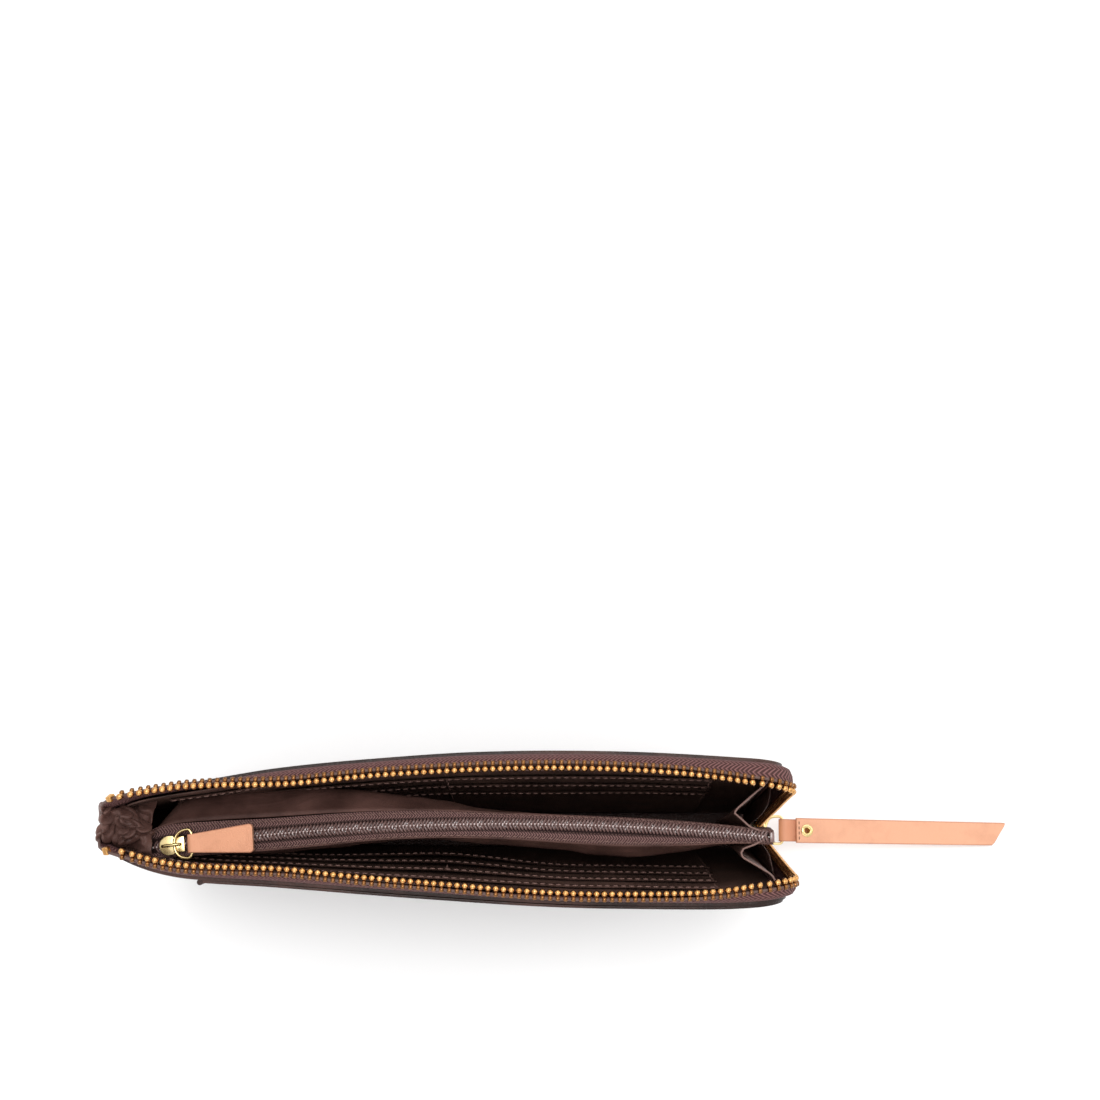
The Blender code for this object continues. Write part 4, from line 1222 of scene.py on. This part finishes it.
def slider_plate(bm, length, nose, tail, low, thickness, rounding):
    """A spade-shaped plate: round at the nose, drawn in at the waist, and square at the tail."""
    radius = nose / 2
    front = length / 2
    half = [(front - radius + radius * math.cos(t), radius * math.sin(t))
            for t in (math.radians(90 * k / 7) for k in range(8))]
    half += [(front - radius * 1.5, radius * 0.94), (-0.12 * length, tail * 0.44),
             (-0.26 * length, tail * 0.46), (-0.36 * length, tail / 2), (-front, tail / 2)]
    outline = half + [(x, -y) for x, y in reversed(half[1:])]
    verts = [bm.verts.new((x, y, low)) for x, y in outline]
    face = bm.faces.new(verts)
    top = bmesh.ops.extrude_face_region(bm, geom=[face])["geom"]
    raised = [v for v in top if isinstance(v, bmesh.types.BMVert)]
    bmesh.ops.translate(bm, vec=(0, 0, thickness), verts=raised)
    rim = [e for v in verts for e in v.link_edges if e.other_vert(v) in verts]
    rim += [e for v in raised for e in v.link_edges if e.other_vert(v) in raised]
    bmesh.ops.bevel(bm, geom=list(set(rim)), offset=rounding, segments=3, affect="EDGES", profile=0.5,
                    material=-1)


def cast_slider(name, axes, length, nose, tail, channel, plate, slot, bridge_rise, bar, body, replaced):
    """Local X is the way the slider's nose points, and Z is out of the zip."""
    bm = bmesh.new()
    gap = channel / 2
    slider_plate(bm, length, nose, tail, gap, plate, 0.22 * MM)
    slider_plate(bm, length, nose, tail, -gap - plate, plate, 0.22 * MM)
    deep = gap + 0.2 * MM
    box_between(bm, (0.14 * length, -0.12 * nose, -deep), (0.4 * length, 0.12 * nose, deep), 0.15 * MM)
    for side in (1, -1):
        inner, outer = sorted((side * (tail / 2 - 0.75 * MM), side * (tail / 2)))
        for low, high in ((slot / 2, gap + 0.2 * MM), (-gap - 0.2 * MM, -slot / 2)):
            box_between(bm, (-0.48 * length, inner, low), (0.02 * length, outer, high), 0.12 * MM)
    bmesh.ops.recalc_face_normals(bm, faces=bm.faces)
    bmesh.ops.transform(bm, matrix=axes, verts=bm.verts)
    cast = piece(name, bm, PALE_GOLD, 35)
    surface, half = gap + plate, 2.9 * MM
    arch = [(half, surface - 0.4 * MM), (half, surface + 0.5 * bridge_rise)]
    arch += [(half * math.cos(t) ** 0.6, surface + bridge_rise * (0.5 + 0.5 * math.sin(t)))
             for t in (math.radians(15 * k) for k in range(1, 6))]
    arch += [(0, surface + bridge_rise)] + [(-x, z) for x, z in reversed(arch)]
    bridge = swept(name + "_bridge", [axes @ Vector((x, 0, z)) for x, z in arch], bar / 2, PALE_GOLD,
                   resolution=4)
    for obj in (cast, bridge):
        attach(obj, body)
    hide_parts(replaced)


def slider_axes(nose_way, outward, place):
    across = outward.cross(nose_way)
    return Matrix.Translation(place) @ Matrix((nose_way, across, outward)).transposed().to_4x4()


MAIN_SLIDER_AXES = slider_axes(Vector((0, 0, 1)), Vector((1, 0, 0)), Vector((116, 0, 17.5)) * MM)
cast_slider("main_slider_casting", MAIN_SLIDER_AXES, 12.6 * MM, 10.8 * MM, 8 * MM, 2.9 * MM, 0.9 * MM,
            1.9 * MM, 2.0 * MM, 1.1 * MM, "main_slider", "main_slider_body")
INNER_START = -92.5 * MM
turned = math.asin((INNER_START - ARC_CENTRE.x) / ARC_RADIUS)
COIL_SLIDER_AXES = slider_axes(Vector((-math.cos(turned), math.sin(turned), 0)), Vector((0, 0, 1)),
                               arc_point(INNER_START, 0, BAND_TOP + 0.7 * MM))
cast_slider("coil_slider_casting", COIL_SLIDER_AXES, 8.6 * MM, 6.6 * MM, 5.2 * MM, 2.6 * MM, 0.7 * MM,
            1.15 * MM, 1.85 * MM, 1.05 * MM, "inner_slider", "inner_slider_body")
low, high = (Vector(c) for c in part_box("inner_zip_bottom_stop"))
clip("coil_zip_foot_stop", high - low, Matrix.Translation((low + high) / 2), "inner_zip_bottom_stop",
     NYLON)


# ---- Pull rings -----------------------------------------------------------------------------------------
# Each pull hangs on a ring bent from gold-plated wire: a squared one with round corners on the main
# zip, and a D with its straight side outwards on the coil zip.
def pull_frame(joint_name):
    """A pull's place at a joint, and its hinge line."""
    joint = next(j for j in frame["joints"] if j["name"] == joint_name)
    hinge = -Vector(joint["axis"]).normalized()
    return Vector(joint["pos_m"]), hinge


def local_axes(place, hinge, along):
    along = (along - hinge * along.dot(hinge)).normalized()
    up = along.cross(hinge)
    return Matrix.Translation(place) @ Matrix((along, hinge, up)).transposed().to_4x4()


def bent_ring(name, axes, outline, wire, body, replaced):
    """A ring bent through (x, y) corners, each rounded with a short arc."""
    corners = [Vector((x * MM, y * MM, 0)) for x, y in outline]
    points = []
    for i, corner in enumerate(corners):
        before, after = corners[i - 1], corners[(i + 1) % len(corners)]
        back = corner + (before - corner) * 0.45
        ahead = corner + (after - corner) * 0.45
        for k in range(6):
            t = k / 5
            points.append(axes @ (back * (1 - t) ** 2 + corner * 2 * t * (1 - t) + ahead * t * t))
    made = swept(name, points, wire / 2, PALE_GOLD, closed=True, resolution=4)
    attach(made, body)
    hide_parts(replaced)
    return made


ring_place, ring_hinge = pull_frame("main_ring_hinge")
strap_place, strap_hinge = pull_frame("strap_hinge")
MAIN_AXES = local_axes(ring_place, ring_hinge, strap_place - ring_place)
STRAP_AXES = local_axes(strap_place, strap_hinge, strap_place - ring_place)
bent_ring("main_pull_wire_ring", MAIN_AXES,
          [(0, -1.6), (0, 1.6), (1.2, 4.3), (3.0, 5.3), (7.4, 5.3), (7.4, -5.3), (3.0, -5.3), (1.2, -4.3)],
          1.1 * MM, "main_ring", "main_pull_ring")

d_place, d_hinge = pull_frame("inner_ring_hinge")
tab_place, tab_hinge = pull_frame("inner_tab_hinge")
D_AXES = local_axes(d_place, d_hinge, tab_place - d_place)
TAB_AXES = local_axes(tab_place, tab_hinge, tab_place - d_place)
bent_ring("coil_pull_wire_ring", D_AXES,
          [(0, -1.2), (0, 1.2), (0.8, 3.2), (2.6, 4.6), (6.2, 4.9), (6.2, -4.9), (2.6, -4.6), (0.8, -3.2)],
          1.0 * MM, "inner_ring", "inner_pull_ring")


# ---- Leather pulls ----------------------------------------------------------------------------------------
# Undyed tan leather. A strap with a slanted tip is riveted by a brass eyelet to a short loop folded
# round the main ring; the coil zip has a folded tab that widens away from its ring.
def tan_leather(name, dark, light, width=0):
    """Undyed leather. With a width, the strip's long edges are darker, from its UV map."""
    material, tree, shader = new_material(name, light, 0.52)
    height, mask = grained(tree, 1500)
    coords = node(tree, "ShaderNodeTexCoord")
    fibre = node(tree, "ShaderNodeTexNoise", {"Vector": coords.outputs["Object"], "Scale": 160.0,
                                              "Detail": 6.0, "Roughness": 0.65})
    tone = math_node(tree, "ADD", math_node(tree, "MULTIPLY", mask, 0.8),
                     math_node(tree, "MULTIPLY", fibre.outputs["Fac"], 0.7))
    colour = shade_between(tree, value_between(tree, tone, -0.9, 1.5), dark, light)
    if width:
        laid = node(tree, "ShaderNodeUVMap", {}, uv_map="UVMap")
        apart = node(tree, "ShaderNodeSeparateXYZ", {0: laid.outputs["UV"]})
        from_edge = math_node(tree, "PINGPONG", apart.outputs["Y"], width / 2)
        edge = node(tree, "ShaderNodeMapRange", {"Value": from_edge, "From Min": 0.12 * MM,
                                                 "From Max": 0.5 * MM, "To Min": 1.0, "To Max": 0.0})
        edge_darkened = node(tree, "ShaderNodeMix", {"Factor": edge.outputs["Result"], "A": colour,
                                             "B": (0.40, 0.15, 0.08, 1)}, data_type="RGBA")
        colour = edge_darkened.outputs["Result"]
    tree.links.new(colour, shader.inputs["Base Color"])
    tree.links.new(value_between(tree, mask, 0.42, 0.62), shader.inputs["Roughness"])
    raise_surface(tree, shader, height, 0.05 * MM)
    return material


TAN = tan_leather("tan_leather", (0.57, 0.27, 0.16), (0.71, 0.355, 0.215), 9 * MM)
ROSE_TAN = tan_leather("tan_leather_tab", (0.60, 0.25, 0.14), (0.86, 0.40, 0.23), 10 * MM)
DARKER_TAN = tan_leather("tan_leather_folded", (0.40, 0.15, 0.075), (0.62, 0.27, 0.15), 9 * MM)
RAW_EDGE = tan_leather("tan_cut_edge", (0.36, 0.15, 0.08), (0.60, 0.29, 0.17))


def leather_strip(name, axes, length, half_width, rows, material, side_y, shape_z):
    """A flat strip along X, cut to half_width(a) and shaped in height by shape_z(x)."""

    def place(a, b):
        x = length[0] + (length[1] - length[0]) * a
        low, high = side_y(a)
        cut = half_width(a, b)
        return axes @ Vector((x + cut, low + (high - low) * b, shape_z(x)))

    return piece(name, sheet_mesh(rows[0], rows[1], (length[1] - length[0], 9 * MM), place), material)


STRAP_WALL = 1.6 * MM
STRAP_TOP = 1.1 * MM + 0.3 * MM + STRAP_WALL / 2
STRAP_HALF = 4.6 * MM


def strap_tip(a, b):
    """The slanted, slightly hollow tip: the rear corner reaches furthest."""
    slant = 6.0 * MM * (1 - b) + 0.15 * MM * math.sin(math.pi * b) + 0.7 * MM * (2 * b - 1) ** 8
    return -slant * ease(0.5, 1, a)


strap = leather_strip(
    "leather_strap", STRAP_AXES, (4.4 * MM, 93 * MM), strap_tip, (90, 16), TAN,
    lambda a: (-STRAP_HALF * (1.05 - 0.07 * a), STRAP_HALF * (1.05 - 0.07 * a)),
    lambda x: STRAP_TOP + 0.35 * MM * math.sin(x * 60) * ease(16 * MM, 40 * MM, x))
thicken(strap, STRAP_WALL, 0.3 * MM, RAW_EDGE)


def loop_place(axes, reach, length, half, wall):
    """The middle of a strip folded round a bar: out along the top, round the bar, and back below."""
    flat = wall / 2 + 0.05 * MM
    tip = [length - back * MM for back in (0, 0.08, 0.2, 0.4, 0.75, 1.3)]
    run = [(x, flat) for x in tip] + [(length * 0.6, flat), (1.9 * reach, flat), (0.9 * reach, 0.75 * reach)]
    turns = 8
    run += [(reach * math.cos(t), reach * math.sin(t))
            for t in (math.radians(70 + 220 * k / turns) for k in range(turns + 1))]
    run += [(0.9 * reach, -0.75 * reach), (1.9 * reach, -flat), (length * 0.6, -flat)]
    run += [(x, -flat) for x in reversed(tip)]

    def place(a, b):
        step = a * (len(run) - 1)
        i = min(int(step), len(run) - 2)
        share = step - i
        x = run[i][0] + (run[i + 1][0] - run[i][0]) * share
        z = run[i][1] + (run[i + 1][1] - run[i][1]) * share
        return axes @ Vector((x, (2 * b - 1) * half(x), z))

    return place


LOOP_WALL = 1.05 * MM
fold_place = loop_place(STRAP_AXES, 1.45 * MM, 15 * MM, lambda x: 4.3 * MM, LOOP_WALL)
loop = piece("strap_fold", sheet_mesh(64, 8, (44 * MM, 9 * MM), fold_place), DARKER_TAN)
thicken(loop, LOOP_WALL, 0.25 * MM, RAW_EDGE)

TAB_LENGTH = 20.5 * MM
TAB_WALL = 0.95 * MM


def tab_half(x):
    """Half the tab's width, which is rounded off at its end's corners."""
    corner = 1.3 * MM
    over = max(x - TAB_LENGTH + corner, 0)
    return (3.1 + 1.8 * max(x, 0) / TAB_LENGTH) * MM - corner + math.sqrt(max(corner**2 - over**2, 0))


tab = piece("coil_pull_tab", sheet_mesh(80, 10, (50 * MM, 10 * MM),
                                        loop_place(TAB_AXES, 1.2 * MM, TAB_LENGTH, tab_half, TAB_WALL)),
            ROSE_TAN)
thicken(tab, TAB_WALL, 0.25 * MM, RAW_EDGE)
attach(tab, "inner_pull")
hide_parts("inner_pull_tab")

# The eyelet is a turned brass tube with a rolled flange, set through the strap and the loop's top layer.
EYE_X = 8.6 * MM


def eyelet():
    top = STRAP_TOP + STRAP_WALL / 2
    foot = -0.1 * MM
    profile = [(0.95, foot), (1.2, foot), (1.2, top - 0.1 * MM), (2.3, top), (2.42, top + 0.25 * MM),
               (2.15, top + 0.5 * MM), (1.5, top + 0.5 * MM), (1.05, top + 0.25 * MM), (0.95, top - 0.2 * MM)]
    bm = bmesh.new()
    verts = [bm.verts.new((r * MM, 0, z)) for r, z in profile]
    edges = [bm.edges.new((verts[k], verts[(k + 1) % len(verts)])) for k in range(len(verts))]
    bmesh.ops.spin(bm, geom=verts + edges, cent=(0, 0, 0), axis=(0, 0, 1), angle=2 * math.pi, steps=40,
                   use_merge=True)
    bmesh.ops.remove_doubles(bm, verts=bm.verts, dist=1e-6)
    bmesh.ops.recalc_face_normals(bm, faces=bm.faces)
    bmesh.ops.transform(bm, matrix=STRAP_AXES @ Matrix.Translation((EYE_X, 0, 0)), verts=bm.verts)
    return piece("brass_eyelet", bm, PALE_GOLD, 60)


ring_of_brass = eyelet()


def punch(target, low, high):
    """Punches the eyelet's hole through a leather piece."""
    bm = bmesh.new()
    hole = 1.3 * MM
    bmesh.ops.create_cone(bm, cap_ends=True, segments=32, radius1=hole, radius2=hole, depth=high - low)
    bmesh.ops.translate(bm, vec=(EYE_X, 0, (low + high) / 2), verts=bm.verts)
    bmesh.ops.transform(bm, matrix=STRAP_AXES, verts=bm.verts)
    mesh = bpy.data.meshes.new("punch")
    bm.to_mesh(mesh)
    bm.free()
    cutter = bpy.data.objects.new("punch", mesh)
    bpy.context.scene.collection.objects.link(cutter)
    hole = target.modifiers.new("Hole", "BOOLEAN")
    hole.operation = "DIFFERENCE"
    hole.solver = "EXACT"
    hole.object = cutter
    bpy.context.view_layer.update()
    evaluated = target.evaluated_get(bpy.context.evaluated_depsgraph_get())
    cut = bpy.data.meshes.new_from_object(evaluated)
    target.modifiers.clear()
    target.data = cut
    bpy.data.objects.remove(cutter)


punch(strap, 0, 6 * MM)
punch(loop, -0.05 * MM, 4 * MM)


def strap_seam(s):
    """A short row of saddle stitches across the strap, which ties it to the loop."""
    return STRAP_AXES @ Vector((5.4 * MM, -3.9 * MM + s, STRAP_TOP + STRAP_WALL / 2)), Vector((0, 0, 1))


TAN_THREAD = thread("dark_tan_thread", (0.20, 0.085, 0.045))
seam = stitches("strap_cross_stitches", strap_seam, 7.8 * MM, 1.95 * MM, 0.24 * MM, TAN_THREAD)
for obj in (strap, loop, ring_of_brass, seam):
    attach(obj, "main_strap")
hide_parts("pull_strap")
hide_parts("strap_loop")
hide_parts("strap_eyelet")


# ---- Floor, light and camera ------------------------------------------------------------------------------
# A white floor under large soft lights, seen from straight above with the pouch low in the view.
def floor():
    bm = bmesh.new()
    bmesh.ops.create_grid(bm, x_segments=1, y_segments=1, size=2.5)
    bmesh.ops.translate(bm, vec=(0, 0, -0.1 * MM), verts=bm.verts)
    material, _, shader = new_material("pale_floor", (0.93, 0.93, 0.93), 0.9)
    shader.inputs["Specular IOR Level"].default_value = 0.0
    mesh = bpy.data.meshes.new("floor")
    bm.to_mesh(mesh)
    bm.free()
    mesh.materials.append(material)
    made = bpy.data.objects.new("floor", mesh)
    bpy.context.scene.collection.objects.link(made)


floor()


def soft_light(name, place, aim, size, power):
    light = bpy.data.lights.new(name, "AREA")
    light.shape = "RECTANGLE"
    light.size, light.size_y = size
    light.energy = power
    made = bpy.data.objects.new(name, light)
    made.location = place
    made.rotation_euler = (Vector(aim) - Vector(place)).to_track_quat("-Z", "Y").to_euler()
    bpy.context.scene.collection.objects.link(made)


soft_light("overhead_softbox", (0.0, 0.12, 1.25), (0.03, 0, 0.05), (0.5, 0.4), 5)
soft_light("rear_softbox", (0.25, 0.95, 0.95), (0.03, 0, 0.05), (1.2, 0.6), 3)
soft_light("front_softbox", (-0.15, -0.95, 0.95), (0.03, 0, 0.05), (1.3, 0.6), 2.5)
soft_light("right_softbox", (1.05, 0.2, 0.7), (0.08, 0, 0.08), (0.5, 0.8), 2)

world = bpy.data.worlds.new("studio")
world.use_nodes = True
world.node_tree.nodes["Background"].inputs["Color"].default_value = (1, 1, 1, 1)
world.node_tree.nodes["Background"].inputs["Strength"].default_value = 0.95
bpy.context.scene.world = world
bpy.context.scene.view_settings.view_transform = "Standard"

camera_data = bpy.data.cameras.new("camera")
camera_data.lens = 49.18
camera_data.sensor_width = 36
camera_data.clip_start = 0.01
camera = bpy.data.objects.new("camera", camera_data)
camera.location = (34.5 * MM, 0, 618 * MM)
camera.rotation_euler = (math.radians(10.55), 0, 0)
bpy.context.scene.collection.objects.link(camera)
bpy.context.scene.camera = camera
